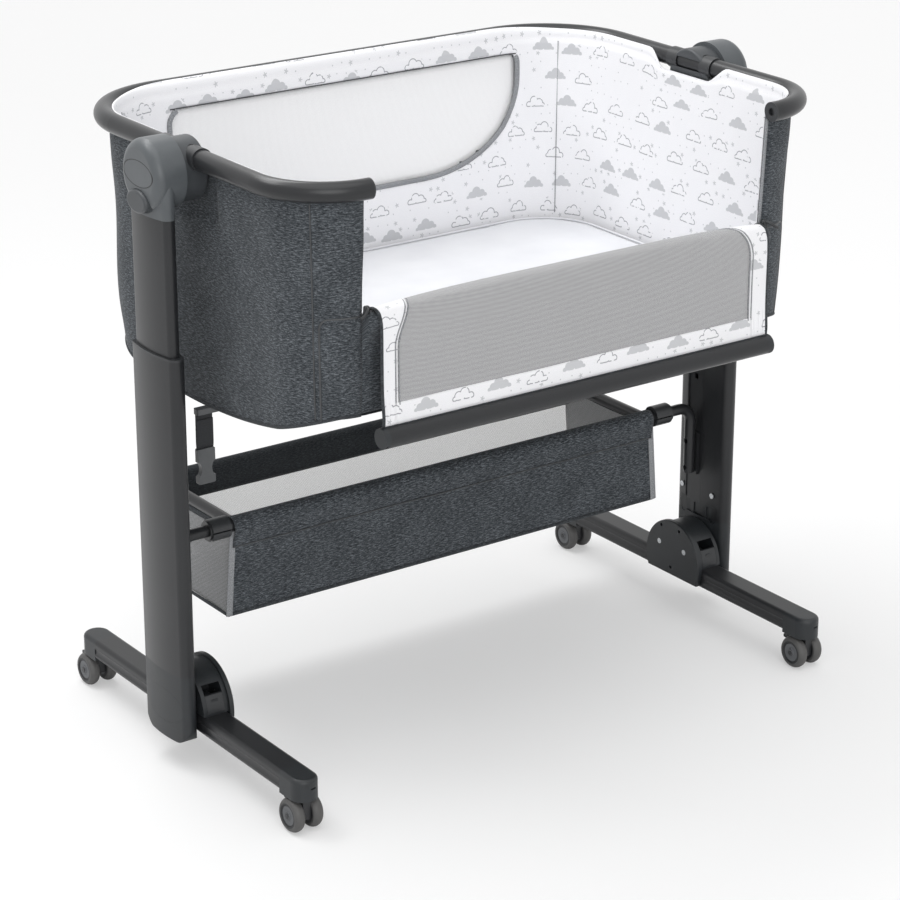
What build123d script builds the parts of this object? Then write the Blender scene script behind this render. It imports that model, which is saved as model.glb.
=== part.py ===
from build123d import *
import os
from math import cos, radians, sqrt

# Bedside bassinet on a folding, height-adjustable stand. Millimetres, +Z up.
# X runs along the crib, the drop side faces -Y, and the origin lies on the floor
# midway between the two posts, in the plane of both post axes.

# ---- Clearances ----
RUNNING = 0.05          # shaft in a bore that it turns in
SLIDING = 0.08          # tube in its guide
SEAT = 0.1              # plug or cover in its seat, all round
GAP = 0.3               # soft goods and free edges beside a neighbour

# ---- Stand: places ----
POST_X = 455.0          # post axis from the middle of the crib
FOOT_X = 420.0          # foot axis, just inboard of the post
FOLD_Z = 92.0           # height of the fold axis of both feet

# ---- Foot tube and its end caps ----
FOOT_WIDE = 37.6
FOOT_TALL = 28.0
FOOT_FLOOR = 49.5       # underside of the tube above the floor
FOOT_WALL = 2.0
FOOT_EDGE = 6.0         # rounding of the tube's corners
FOOT_GROOVE = 1.2       # depth of the concave band along each side
GROOVE_R = 12.0
GROOVE_DROP = 2.0       # the band's middle below the tube's
FOOT_BORE_EDGE = 3.0    # rounding of the tube's hollow
FOOT_HALF = 238.0       # half length of the tube
CAP_DROP = 2.5          # how far a cap reaches below the tube
CAP_EDGE = 7.0          # rounding of a cap's top edge
CAP_SPIGOT = 20.0
STEM_Y = 264.0          # caster stems, before and behind the posts
GLIDE_SLOT = (8.0, 3.0, 2.2)
GLIDE_AT = (4.0, 17.0)  # slot in a cap's nose, from its axis and floor

# ---- Casters ----
WHEEL_R = 23.0
WHEEL_WIDE = 15.0
WHEEL_SPLIT = 12.0      # free space between the two wheels of a caster
WHEEL_ROUND = 4.0
DISC_R = 15.0           # recessed disc inside the tyre
DISC_DEEP = 1.2
HUB_R = 5.5
TRAIL = 5.0             # axle behind the stem
AXLE_R = 2.5
AXLE_HEAD_R = 3.5
AXLE_HEAD = 0.8
STEM_R = 5.0
STEM_TALL = 20.0
COLLAR_R = 5.6          # slimmer than the space between the wheels
COLLAR_TALL = 4.0
WEB_FRONT = 9.0
WEB_REAR = 19.0
WEB_FLOOR = 17.0
WEB_BELOW = 2.0         # web below the foot of the stem
WEB_EDGE = 3.0
BRAKE_PIN_R = 1.5
BRAKE_PIN = (15.0, 35.5)    # brake pivot: behind the stem, above the floor
BRAKE_EYE = 4.0
BRAKE_SLOT = 6.0
BRAKE_REACH = 36.0
BRAKE_THICK = 3.6
BRAKE_PAD = 10.0
BRAKE_ROOM = (24.0, 16.0, 6.0)      # slot for the lever: long, tall, behind its pin
BRAKE_TREAD = (10.0, 5.6, 2.0)      # long, thick, rounding
BRAKE_TREAD_AT = (-3.0, -1.0)       # its middle from the lever's end

# ---- Fold hinge ----
HOUSING_R = 56.0
HOUSING_WALL = 3.6
ARC_Z = 77.0            # centre of the round top of the hinge
BOSS_R = 13.0
PIN_R = 6.0
PLATE_R = 60.0
PLATE_THICK = 6.8
PLATE_FLOOR = 52.0
PLATE_EDGE = 2.5
PLATE_SCREWS = ((30.0, 97.0), (-26.0, 97.0))
PLATE_HOLES = ((26.0, 124.0), (-14.0, 126.0), (3.0, 64.0))
PLATE_HOLE_R = 2.6
HOLE_DEEP = 4.0
SCREW_R = 1.8
SCREW_HEAD_R = 4.0
SCREW_HEAD = 1.4
SCREW_LONG = 9.0
DRIVE_R = 1.6           # recess in a screw head
DRIVE_DEEP = 0.8
BUTTON_WIDE = 26.0
BUTTON_FLOOR = 80.5
BUTTON_TOP = 104.0
BUTTON_SLOT_TOP = 116.0
BUTTON_SKIN = 3.0
BUTTON_GUIDE = (10.0, 12.0, 30.0)
BUTTON_SLOT_IN = 21.0   # inner end of the button's slot, before the fold axis

# ---- Posts ----
LOWER_THICK = 31.0      # across X
LOWER_DEEP = 106.0      # across Y
LOWER_NOSE = 11.0       # radius of the oval's narrow ends
LOWER_WALL = 2.0
LOWER_TOP = 570.0
SEAM_Z = 138.0          # joint between boot and lower tube
NOTCH_TOP = 160.0       # the tube's inner face ends higher than its outer one
NOTCH_DEEP = 80.0
CHANNEL_WIDE = 30.0
CHANNEL_DEEP = 1.2
CHANNEL_TOP = 480.0
UPPER_THICK = 24.0
UPPER_DEEP = 90.0
UPPER_NOSE = 8.5
UPPER_WALL = 1.6
UPPER_FLOOR = 392.0
UPPER_TOP = 750.0
SLEEVE_LONG = 80.0
SLEEVE_LIP = 3.0
STOP_PLUG = 20.0        # height of the plug that ends the upper tube
PLUG_SPIGOT = 28.0
LATCH_Z = 351.0
LATCH_SIZE = 8.0
DIMPLE = (-38.0, 545.0, 2.5)

# ---- Boot ----
BOOT_FLOOR = 42.0
BOOT_HEEL = 30.0        # rounding of the rear bottom corner
BOOT_TOE = 20.0
BOOT_SPIGOT = 58.0      # how far it rises inside the lower tube
BOOT_WALL = 4.0
BOOT_CAVITY = 104.0     # bottom of the hollow inside the boot
COVER_SIZE = (88.0, 47.0)
COVER_AT = (-4.0, 88.0)
COVER_SKIN = 2.0
BOOT_SCREWS = ((36.0, 176.0), (-31.0, 177.0))
POCKETS = (-28.0, 0.0, 28.0)
POCKET_WIDE = 20.0

# ---- Shoulders ----
RIM_Z = 820.0
RIM_X = 410.0
RIM_BACK = 296.0
RIM_FRONT = -269.0
RIM_R = 13.0
RIM_WALL = 2.0
CORNER_BACK = 130.0
CORNER_FRONT = 95.0
ARM_END = 313.0         # half width of the opening between the two arms
PLUG_LIP = 2.0
NUB = (3.0, 1.2)        # radius and length of the left arm's catch
SOCKET_R = 5.0
PLUG_TAIL = 4.0         # plug inside the tube, short because the arm curves there
DISC_Z = 800.0
SHELL_R = 46.0
SHELL_IN = 431.0        # parting plane between shell and hub
SHELL_OUT = 474.0
SHELL_EDGE = 13.0
SHELL_HOLLOW = 30.0
HOLLOW_RISE = 8.0       # hollow and spigot above the disc's centre, which keys the two halves
SHELL_FLOOR = 462.0
NECK_THICK = 28.0
NECK_DEEP = 91.0
NECK_NOSE = 9.5
NECK_SPIGOT = 38.0
BADGE_SIZE = (70.0, 33.0)
BADGE_Z = 803.0
BADGE_THICK = 2.0
KNOB_SIZE = (48.0, 30.0)
KNOB_Z = 768.0
KNOB_OUT = 479.0
KNOB_SINK = 13.0        # back of the button behind the shell's face
KNOB_EDGE = 4.0
KNOB_STEM_R = 4.0
KNOB_STEM = 9.0
KNOB_PRESS = 4.0
HUB_END = 397.0
HUB_OUT_R = 41.0
HUB_EDGE = 4.0
HUB_SPIGOT = 12.0
BUSH_WALL = 1.9
BUSH_LONG = 22.0
BUSH_OUT = 46.0
TILT = 3.0              # degrees each way, one end of the cradle above the other

# ---- Drop side ----
RAIL_Y = -283.0
RAIL_Z = 508.0
RAIL_R = 13.0
RAIL_WALL = 1.5
RAIL_CAP = 8.0
RAIL_PLAY = 2.0         # between a rail cap and its arm end, with the side raised
RAIL_SPIGOT = 15.0
RAIL_NOTCH = (3.0, 5.0)
PANEL_PAST = 3.0        # how far the panel reaches past the rail tube
PANEL_THICK = 4.0
PANEL_OFF = 1.5         # face of the panel outside the drop hinge axis
PANEL_TOP = 2.0         # edge of the panel below the drop hinge axis

# ---- Cradle body ----
BODY_IN = 6.0           # the cloth hangs this far inside the rim tube's axis
BODY_WALL = 13.0
BODY_TAPER = 17.0       # the body narrows this much on each side
BODY_FLOOR = 480.0      # level that the taper is measured at
SKIRT = ((-262.0, 530.0), (60.0, 486.0), (290.0, 524.0))
SKIRT_PAST = 60.0       # how far the skirt's cutter reaches past the body
OPEN_PAST = 5.0         # edge of the front opening behind the arm ends
SHELF_UNDER = 24.0
FLOOR_Z = 524.0
FLOOR_THICK = 3.0
BOARD_THICK = 6.0
MATTRESS_THICK = 22.0
MATTRESS_EDGE = 5.0
HUB_POCKET = (106.0, 753.0)
HUB_SWING = 3.0
WINDOW_X = (-270.0, 311.0)
WINDOW_Z = (637.0, 795.0)
WINDOW_CORNER = 60.0
WINDOW_THICK = 1.5

# ---- Basket ----
BASKET_Z = 306.0
BASKET_FRONT = 11.0
BASKET_BACK = 203.0
BAR_R = 9.5
BAR_HALF = 383.0
BAR_WALL = 1.5
HOOP_R = 8.0
HOOP_HALF = 345.0
HOOP_CORNER = 32.0
CLAMP_R = 15.0
CLAMP_FROM = 357.0
CLAMP_TO = 385.0
CLAMP_SLOT = 2.0
BRACKET_R = 8.0
BRACKET_BEND = 22.0
BRACKET_DISC = 3.0      # disc that seats on the clamp
BRACKET_FLOOR = 205.0
FLANGE = (20.0, 3.7)
BRACKET_SINK = 1.5      # the bracket tube is let this far into its flange
FLANGE_Z = (200.0, 266.0)
FLANGE_SCREWS = (212.0, 254.0)
BAG_FLOOR = 186.0
BAG_TOP_HALF = 352.0
BAG_FLOOR_HALF = 372.0
BAG_WALL = 3.0

# ---- Anchor straps ----
STRAP_X = 397.0
STRAP_Y = -9.0
STRAP_WIDE = 25.0
STRAP_THICK = 2.0
STRAP_Z = (429.0, 478.0)
BUCKLE_Z = (383.0, 431.0)
BUCKLE_THICK = 8.0
BUCKLE_WAIST = (5.0, 9.6)   # half width and half height of the bite at each side
WAIST_AT = 0.42             # height of the waist as a share of the buckle's
STAY_DEEP = 12.0

# ---- Sizes that follow ----
FOOT_TOP = FOOT_FLOOR + FOOT_TALL
FOOT_IN = FOOT_X - FOOT_WIDE / 2
POST_IN = POST_X - LOWER_THICK / 2
POST_OUT = POST_X + LOWER_THICK / 2
WEB_WIDE = WHEEL_SPLIT - 2 * GAP
PLATE_IN = FOOT_IN - PLATE_THICK
RAIL_HALF = ARM_END - RAIL_PLAY - RAIL_CAP
PANEL_HALF = RAIL_HALF + PANEL_PAST
OPEN_HALF = ARM_END + OPEN_PAST
HINGE_Y = (RAIL_Y + RIM_FRONT) / 2
HINGE_Z = (RAIL_Z + RIM_Z) / 2
DRIFT = (2 * RIM_X) * (1 - cos(radians(TILT)))
BODY_TOP = RIM_Z - sqrt((RIM_R + GAP) ** 2 - BODY_IN**2)
BODY_FRONT_TOP = HINGE_Z - PANEL_TOP / 2
FLOOR_TOP = FLOOR_Z + FLOOR_THICK
BOARD_Z = FLOOR_TOP + GAP
MATTRESS_Z = BOARD_Z + BOARD_THICK + GAP
WALL_LEAN = BODY_TAPER / (BODY_TOP - BODY_FLOOR)
SIDES = {"left": -1, "right": 1}
ENDS = {"front": -1, "rear": 1}


# ---- Shared shapes ----
def four_arc_oval(deep, thick, nose, mode=Mode.ADD):
    """Face of an oval across Y and X: two long side arcs joined by two nose arcs."""
    half_y = deep / 2
    half_x = thick / 2
    nose_y = half_y - nose
    side_r = (half_x**2 + nose_y**2 - nose**2) / (2 * (half_x - nose))
    lean_x = (side_r - half_x) / (side_r - nose)
    lean_y = nose_y / (side_r - nose)
    meet_x = nose * lean_x
    meet_y = nose_y + nose * lean_y
    with BuildLine() as oval:
        ThreePointArc((meet_x, -meet_y), (half_x, 0), (meet_x, meet_y))
        ThreePointArc((meet_x, meet_y), (0, half_y), (-meet_x, meet_y))
        ThreePointArc((-meet_x, meet_y), (-half_x, 0), (-meet_x, -meet_y))
        ThreePointArc((-meet_x, -meet_y), (0, -half_y), (meet_x, -meet_y))
    make_face(oval.edges(), mode=mode)


def lower_oval(inset=0.0, mode=Mode.ADD):
    """Section of the lower tube, moved in by inset."""
    four_arc_oval(LOWER_DEEP - 2 * inset, LOWER_THICK - 2 * inset, LOWER_NOSE - inset, mode)


def upper_oval(inset=0.0, mode=Mode.ADD):
    """Section of the upper tube, moved in by inset."""
    four_arc_oval(UPPER_DEEP - 2 * inset, UPPER_THICK - 2 * inset, UPPER_NOSE - inset, mode)


def across(x):
    """Plane across the crib at x, seen with Y to the right and Z up."""
    return Plane.YZ.offset(x)


def rim_outline(inset):
    """Face of the rim tube's plan, moved in by inset."""
    half = RIM_X - inset
    back = RIM_BACK - inset
    front = RIM_FRONT + inset
    back_r = CORNER_BACK - inset
    front_r = CORNER_FRONT - inset
    turn = 1 - sqrt(0.5)
    with BuildLine() as outline:
        Line((-half, front + front_r), (-half, back - back_r))
        ThreePointArc(
            (-half, back - back_r),
            (-half + turn * back_r, back - turn * back_r),
            (-half + back_r, back),
        )
        Line((-half + back_r, back), (half - back_r, back))
        ThreePointArc(
            (half - back_r, back),
            (half - turn * back_r, back - turn * back_r),
            (half, back - back_r),
        )
        Line((half, back - back_r), (half, front + front_r))
        ThreePointArc(
            (half, front + front_r),
            (half - turn * front_r, front + turn * front_r),
            (half - front_r, front),
        )
        Line((half - front_r, front), (-half + front_r, front))
        ThreePointArc(
            (-half + front_r, front),
            (-half + turn * front_r, front + turn * front_r),
            (-half, front + front_r),
        )
    make_face(outline.edges())


def body_inset(z):
    """Inset of the body's outer face from the rim tube's axis at height z."""
    return BODY_IN + WALL_LEAN * (BODY_TOP - z)


def skirt_z(y):
    """Height of the body's lower edge, a shallow arc, at depth y."""
    with BuildLine() as edge:
        ThreePointArc(*SKIRT)
    arc = edge.edge()
    centre = arc.arc_center
    return centre.Y - sqrt(arc.radius**2 - (y - centre.X) ** 2)


# ---- Casters ----
def caster_fork(x, y):
    """Stem, collar and web between the two wheels, with the axle through it."""
    axle_y = y + TRAIL
    pin_y = y + BRAKE_PIN[0]
    stem_foot = FOOT_FLOOR - CAP_DROP
    web_top = stem_foot - WEB_BELOW
    with BuildPart() as fork:
        with BuildSketch(Plane((x, y, stem_foot - GAP))):
            Circle(STEM_R)
        extrude(amount=STEM_TALL)
        with BuildSketch(Plane((x, y, stem_foot - GAP))):
            Circle(COLLAR_R)
        extrude(amount=-COLLAR_TALL)
        with BuildSketch(across(x)):
            with Locations((axle_y, WHEEL_R)):
                Circle(HUB_R)
            with Locations((y + (WEB_REAR - WEB_FRONT) / 2, (WEB_FLOOR + web_top) / 2)):
                RectangleRounded(WEB_FRONT + WEB_REAR, web_top - WEB_FLOOR, WEB_EDGE)
        extrude(amount=WEB_WIDE / 2, both=True)
        with BuildSketch(across(x)):
            with Locations((pin_y + BRAKE_ROOM[2], BRAKE_PIN[1])):
                Rectangle(BRAKE_ROOM[0], BRAKE_ROOM[1])
        extrude(amount=BRAKE_SLOT / 2, both=True, mode=Mode.SUBTRACT)
        with BuildSketch(across(x)):
            with Locations((pin_y, BRAKE_PIN[1])):
                Circle(BRAKE_PIN_R)
        extrude(amount=WEB_WIDE / 2, both=True)
        with BuildSketch(across(x)):
            with Locations((axle_y, WHEEL_R)):
                Circle(AXLE_R)
        extrude(amount=WHEEL_SPLIT / 2 + WHEEL_WIDE + GAP, both=True)
        with BuildSketch(across(x + WHEEL_SPLIT / 2 + WHEEL_WIDE + GAP)):
            with Locations((axle_y, WHEEL_R)):
                Circle(AXLE_HEAD_R)
        extrude(amount=AXLE_HEAD)
        with BuildSketch(across(x - WHEEL_SPLIT / 2 - WHEEL_WIDE - GAP)):
            with Locations((axle_y, WHEEL_R)):
                Circle(AXLE_HEAD_R)
        extrude(amount=-AXLE_HEAD)
    return fork.part


def caster_wheels(x, y):
    """Twin wheels: a rounded tyre round a recessed disc, bored for the axle."""
    near = WHEEL_SPLIT / 2
    far = near + WHEEL_WIDE
    axle = Axis((x, y + TRAIL, WHEEL_R), (1, 0, 0))
    with BuildPart() as wheels:
        for side in (-1, 1):
            with BuildSketch(Plane((x, y + TRAIL, WHEEL_R))):
                with BuildLine():
                    Polyline(
                        (side * near, AXLE_R + RUNNING),
                        (side * near, WHEEL_R - WHEEL_ROUND),
                    )
                    ThreePointArc(
                        (side * near, WHEEL_R - WHEEL_ROUND),
                        (side * (near + far) / 2, WHEEL_R),
                        (side * far, WHEEL_R - WHEEL_ROUND),
                    )
                    Polyline(
                        (side * far, WHEEL_R - WHEEL_ROUND),
                        (side * far, DISC_R),
                        (side * (far - DISC_DEEP), DISC_R - DISC_DEEP),
                        (side * (far - DISC_DEEP), HUB_R + 1),
                        (side * far, HUB_R),
                        (side * far, AXLE_R + RUNNING),
                        (side * near, AXLE_R + RUNNING),
                    )
                make_face()
            revolve(axis=axle)
    return wheels.part


def caster_brake(x, y):
    """Brake pedal on the fork's cross pin, its tread behind the wheels."""
    pin_y = y + BRAKE_PIN[0]
    pin_z = BRAKE_PIN[1]
    reach = y + BRAKE_REACH
    with BuildPart() as brake:
        with BuildSketch(across(x)):
            with Locations((pin_y, pin_z)):
                Circle(BRAKE_EYE)
            with Locations(((pin_y + reach) / 2, pin_z)):
                Rectangle(reach - pin_y, BRAKE_THICK)
            with Locations((pin_y, pin_z)):
                Circle(BRAKE_PIN_R + RUNNING, mode=Mode.SUBTRACT)
        extrude(amount=BRAKE_SLOT / 2 - GAP, both=True)
        with BuildSketch(across(x)):
            with Locations((reach + BRAKE_TREAD_AT[0], pin_z + BRAKE_TREAD_AT[1])):
                RectangleRounded(*BRAKE_TREAD)
        extrude(amount=BRAKE_PAD / 2, both=True)
    return brake.part


# ---- Feet ----
def foot_tube(side):
    """Foot tube: flat top, rounded corners and a concave band along each side."""
    x = side * FOOT_X
    mid_z = FOOT_FLOOR + FOOT_TALL / 2
    groove_z = mid_z - GROOVE_DROP
    groove_off = FOOT_WIDE / 2 - FOOT_GROOVE + GROOVE_R
    inner_wide = FOOT_WIDE - 2 * (FOOT_WALL + FOOT_GROOVE)
    inner_tall = FOOT_TALL - 2 * FOOT_WALL
    with BuildPart() as tube:
        with BuildSketch(Plane.XZ):
            with Locations((x, mid_z)):
                RectangleRounded(FOOT_WIDE, FOOT_TALL, FOOT_EDGE)
            with Locations((x - groove_off, groove_z), (x + groove_off, groove_z)):
                Circle(GROOVE_R, mode=Mode.SUBTRACT)
            with Locations((x, mid_z)):
                RectangleRounded(inner_wide, inner_tall, FOOT_BORE_EDGE, mode=Mode.SUBTRACT)
        extrude(amount=FOOT_HALF, both=True)
    return tube.part


def foot_caps(side):
    """Two end caps, each with a round nose over its caster and a plug in the tube."""
    x = side * FOOT_X
    inner_wide = FOOT_WIDE - 2 * (FOOT_WALL + FOOT_GROOVE) - 2 * SEAT
    inner_tall = FOOT_TALL - 2 * FOOT_WALL - 2 * SEAT
    floor = FOOT_FLOOR - CAP_DROP
    with BuildPart() as caps:
        for end in (-1, 1):
            with BuildSketch(Plane.XY.offset(floor)):
                with Locations((x, end * (FOOT_HALF + STEM_Y) / 2)):
                    Rectangle(FOOT_WIDE, STEM_Y - FOOT_HALF)
                with Locations((x, end * STEM_Y)):
                    Circle(FOOT_WIDE / 2)
            extrude(amount=FOOT_TOP - floor)
        top_rims = caps.faces().group_by(Axis.Z)[-1].edges()
        seams = top_rims.filter_by(Axis.X)
        fillet([rim for rim in top_rims if rim not in seams], CAP_EDGE - 1)
        for end in (-1, 1):
            with BuildSketch(Plane.XZ.offset(-end * FOOT_HALF)):
                with Locations((x, FOOT_FLOOR + FOOT_TALL / 2)):
                    RectangleRounded(inner_wide, inner_tall, FOOT_BORE_EDGE)
            extrude(amount=end * CAP_SPIGOT)
            with BuildSketch(Plane((x, end * STEM_Y, floor))):
                Circle(STEM_R + RUNNING)
            extrude(amount=STEM_TALL + 1, mode=Mode.SUBTRACT)
        with BuildSketch(Plane.XZ.offset(STEM_Y + FOOT_WIDE / 2)):
            with Locations((x + GLIDE_AT[0], floor + GLIDE_AT[1])):
                SlotOverall(GLIDE_SLOT[0], GLIDE_SLOT[2])
        extrude(amount=-GLIDE_SLOT[1], mode=Mode.SUBTRACT)
    return caps.part


def hinge_housing(side):
    """Half-round housing on top of the foot tube, hollow, with the pivot boss in it."""
    wide = FOOT_WIDE
    with BuildPart() as housing:
        with BuildSketch(across(side * FOOT_IN)):
            with Locations((0, ARC_Z)):
                Circle(HOUSING_R)
            with Locations((0, FOOT_TOP - HOUSING_R)):
                Rectangle(3 * HOUSING_R, 2 * HOUSING_R, mode=Mode.SUBTRACT)
        extrude(amount=side * wide)
        with BuildSketch(across(side * (FOOT_IN + HOUSING_WALL))):
            with Locations((0, ARC_Z)):
                Circle(HOUSING_R - HOUSING_WALL)
            with Locations((0, FOOT_TOP - HOUSING_R)):
                Rectangle(3 * HOUSING_R, 2 * HOUSING_R, mode=Mode.SUBTRACT)
        extrude(amount=side * (wide - 2 * HOUSING_WALL), mode=Mode.SUBTRACT)
        with BuildSketch(across(side * FOOT_IN)):
            with Locations((0, FOLD_Z)):
                Circle(BOSS_R)
        extrude(amount=side * wide)
        with BuildSketch(across(side * FOOT_IN)):
            with Locations((0, FOLD_Z)):
                Circle(PIN_R + RUNNING)
        extrude(amount=side * wide, mode=Mode.SUBTRACT)
        with BuildSketch(Plane.XZ.offset(BUTTON_SLOT_IN)):
            with Locations((side * FOOT_X, (BUTTON_FLOOR - GAP + BUTTON_SLOT_TOP) / 2)):
                Rectangle(BUTTON_WIDE + 2 * GAP, BUTTON_SLOT_TOP - BUTTON_FLOOR + GAP)
        extrude(amount=HOUSING_R, mode=Mode.SUBTRACT)
        with BuildSketch(across(side * FOOT_IN)):
            with Locations(*PLATE_SCREWS):
                Circle(SCREW_R + RUNNING)
        extrude(amount=side * HOUSING_WALL, mode=Mode.SUBTRACT)
    return housing.part


def hinge_plate(side):
    """D-shaped cover on the inner side of the hinge, with two screws and three holes."""
    with BuildPart() as plate:
        with BuildSketch(across(side * FOOT_IN)):
            with Locations((0, ARC_Z)):
                Circle(PLATE_R)
            with Locations((0, PLATE_FLOOR - PLATE_R)):
                Rectangle(3 * PLATE_R, 2 * PLATE_R, mode=Mode.SUBTRACT)
        extrude(amount=-side * PLATE_THICK)
        chamfer(plate.faces().sort_by(Axis.X)[0 if side > 0 else -1].edges(), PLATE_EDGE / 2)
        with BuildSketch(across(side * PLATE_IN)):
            with Locations(*PLATE_HOLES):
                Circle(PLATE_HOLE_R)
        extrude(amount=side * HOLE_DEEP, mode=Mode.SUBTRACT)
        with BuildSketch(across(side * PLATE_IN)):
            with Locations(*PLATE_SCREWS):
                Circle(SCREW_HEAD_R + SEAT)
        extrude(amount=side * SCREW_HEAD, mode=Mode.SUBTRACT)
        with BuildSketch(across(side * PLATE_IN)):
            with Locations(*PLATE_SCREWS):
                Circle(SCREW_R + RUNNING)
        extrude(amount=side * PLATE_THICK, mode=Mode.SUBTRACT)
    return plate.part


def screw_row(spots, face, inward, long):
    """Screws along X: heads from the plane x = face, shanks going the inward way."""
    with BuildPart() as screws:
        with BuildSketch(across(face)):
            with Locations(*spots):
                Circle(SCREW_HEAD_R)
        extrude(amount=inward * SCREW_HEAD)
        with BuildSketch(across(face)):
            with Locations(*spots):
                Circle(SCREW_R)
        extrude(amount=inward * long)
        with BuildSketch(across(face)):
            with Locations(*spots):
                RegularPolygon(DRIVE_R, 6)
        extrude(amount=inward * DRIVE_DEEP, mode=Mode.SUBTRACT)
    return screws.part


def fold_button(side):
    """Curved push button in the front of the hinge housing, with its guide behind it."""
    x = side * FOOT_X
    guide_wide, guide_tall, guide_long = BUTTON_GUIDE
    mid_z = (BUTTON_FLOOR + BUTTON_TOP) / 2
    with BuildPart() as button:
        with BuildSketch(across(x)):
            with Locations((0, ARC_Z)):
                Circle(HOUSING_R)
                Circle(HOUSING_R - BUTTON_SKIN, mode=Mode.SUBTRACT)
            with Locations((-HOUSING_R, mid_z)):
                Rectangle(HOUSING_R, BUTTON_TOP - BUTTON_FLOOR, mode=Mode.INTERSECT)
        extrude(amount=BUTTON_WIDE / 2, both=True)
        with BuildSketch(Plane.XZ.offset(HOUSING_R - BUTTON_SKIN)):
            with Locations((x, mid_z)):
                Rectangle(guide_wide, guide_tall)
        extrude(amount=-guide_long)
    return button.part


# ---- Posts ----
def cover_blank(side, grow):
    """Oval piece of the boot's outer skin, grown all round by grow."""
    foot = Plane((side * POST_X, 0, BOOT_FLOOR))
    with BuildPart() as blank:
        with BuildSketch(foot):
            lower_oval()
        extrude(amount=SEAM_Z - BOOT_FLOOR)
        with BuildSketch(foot):
            lower_oval(COVER_SKIN + grow)
        extrude(amount=SEAM_Z - BOOT_FLOOR, mode=Mode.SUBTRACT)
        with BuildSketch(across(side * POST_X)):
            with Locations(COVER_AT):
                Ellipse(COVER_SIZE[0] / 2 + grow, COVER_SIZE[1] / 2 + grow)
        extrude(amount=side * LOWER_THICK, mode=Mode.INTERSECT)
    return blank.part


def post_boot(side):
    """Moulded boot at the foot of a post: flush with the tube and plugged into it."""
    recess = cover_blank(side, SEAT)
    foot = Plane((side * POST_X, 0, BOOT_FLOOR))
    height = SEAM_Z + BOOT_SPIGOT - BOOT_FLOOR
    half = LOWER_DEEP / 2
    with BuildPart() as boot:
        with BuildSketch(foot):
            lower_oval()
        extrude(amount=SEAM_Z - BOOT_FLOOR)
        with BuildSketch(across(side * POST_X)):
            with BuildLine():
                Line((-half, SEAM_Z), (half, SEAM_Z))
                Line((half, SEAM_Z), (half, BOOT_FLOOR + BOOT_HEEL))
                RadiusArc((half, BOOT_FLOOR + BOOT_HEEL), (half - BOOT_HEEL, BOOT_FLOOR), BOOT_HEEL)
                Line((half - BOOT_HEEL, BOOT_FLOOR), (BOOT_TOE - half, BOOT_FLOOR))
                RadiusArc((BOOT_TOE - half, BOOT_FLOOR), (-half, BOOT_FLOOR + BOOT_TOE), BOOT_TOE)
                Line((-half, BOOT_FLOOR + BOOT_TOE), (-half, SEAM_Z))
            make_face()
        extrude(amount=LOWER_THICK, both=True, mode=Mode.INTERSECT)
        with BuildSketch(foot.offset(SEAM_Z - BOOT_FLOOR)):
            lower_oval(LOWER_WALL + SEAT)
        extrude(amount=BOOT_SPIGOT)
        with BuildSketch(foot.offset(BOOT_CAVITY - BOOT_FLOOR)):
            lower_oval(LOWER_WALL + BOOT_WALL)
        extrude(amount=height, mode=Mode.SUBTRACT)
        with BuildSketch(across(side * (POST_IN + LOWER_WALL))):
            for pocket_y in POCKETS:
                with Locations((pocket_y, (SEAM_Z + NOTCH_TOP) / 2 - 4)):
                    RectangleRounded(POCKET_WIDE, NOTCH_TOP - SEAM_Z, 3)
        extrude(amount=side * (BOOT_WALL / 2), mode=Mode.SUBTRACT)
        with BuildSketch(across(side * POST_IN)):
            with Locations((BASKET_FRONT, (NOTCH_TOP + height + BOOT_FLOOR) / 2)):
                Rectangle(
                    CHANNEL_WIDE + 2 * LOWER_WALL + 2 * SEAT,
                    height + BOOT_FLOOR - NOTCH_TOP + 2 * SEAT,
                )
        extrude(amount=side * (CHANNEL_DEEP + LOWER_WALL + SEAT), mode=Mode.SUBTRACT)
        with BuildSketch(across(side * (POST_X - LOWER_THICK))):
            with Locations((0, FOLD_Z)):
                Circle(PIN_R + RUNNING)
        extrude(amount=side * 2 * LOWER_THICK, mode=Mode.SUBTRACT)
        with BuildSketch(across(side * (POST_X - LOWER_THICK))):
            with Locations(*BOOT_SCREWS):
                Circle(SCREW_R + RUNNING)
        extrude(amount=side * LOWER_THICK, mode=Mode.SUBTRACT)
        add(recess, mode=Mode.SUBTRACT)
    return boot.part


def boot_covers():
    """Flush oval covers over the outer ends of the hinge bolts."""
    with BuildPart() as covers:
        for side in (-1, 1):
            add(cover_blank(side, 0.0))
    return covers.part


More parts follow.
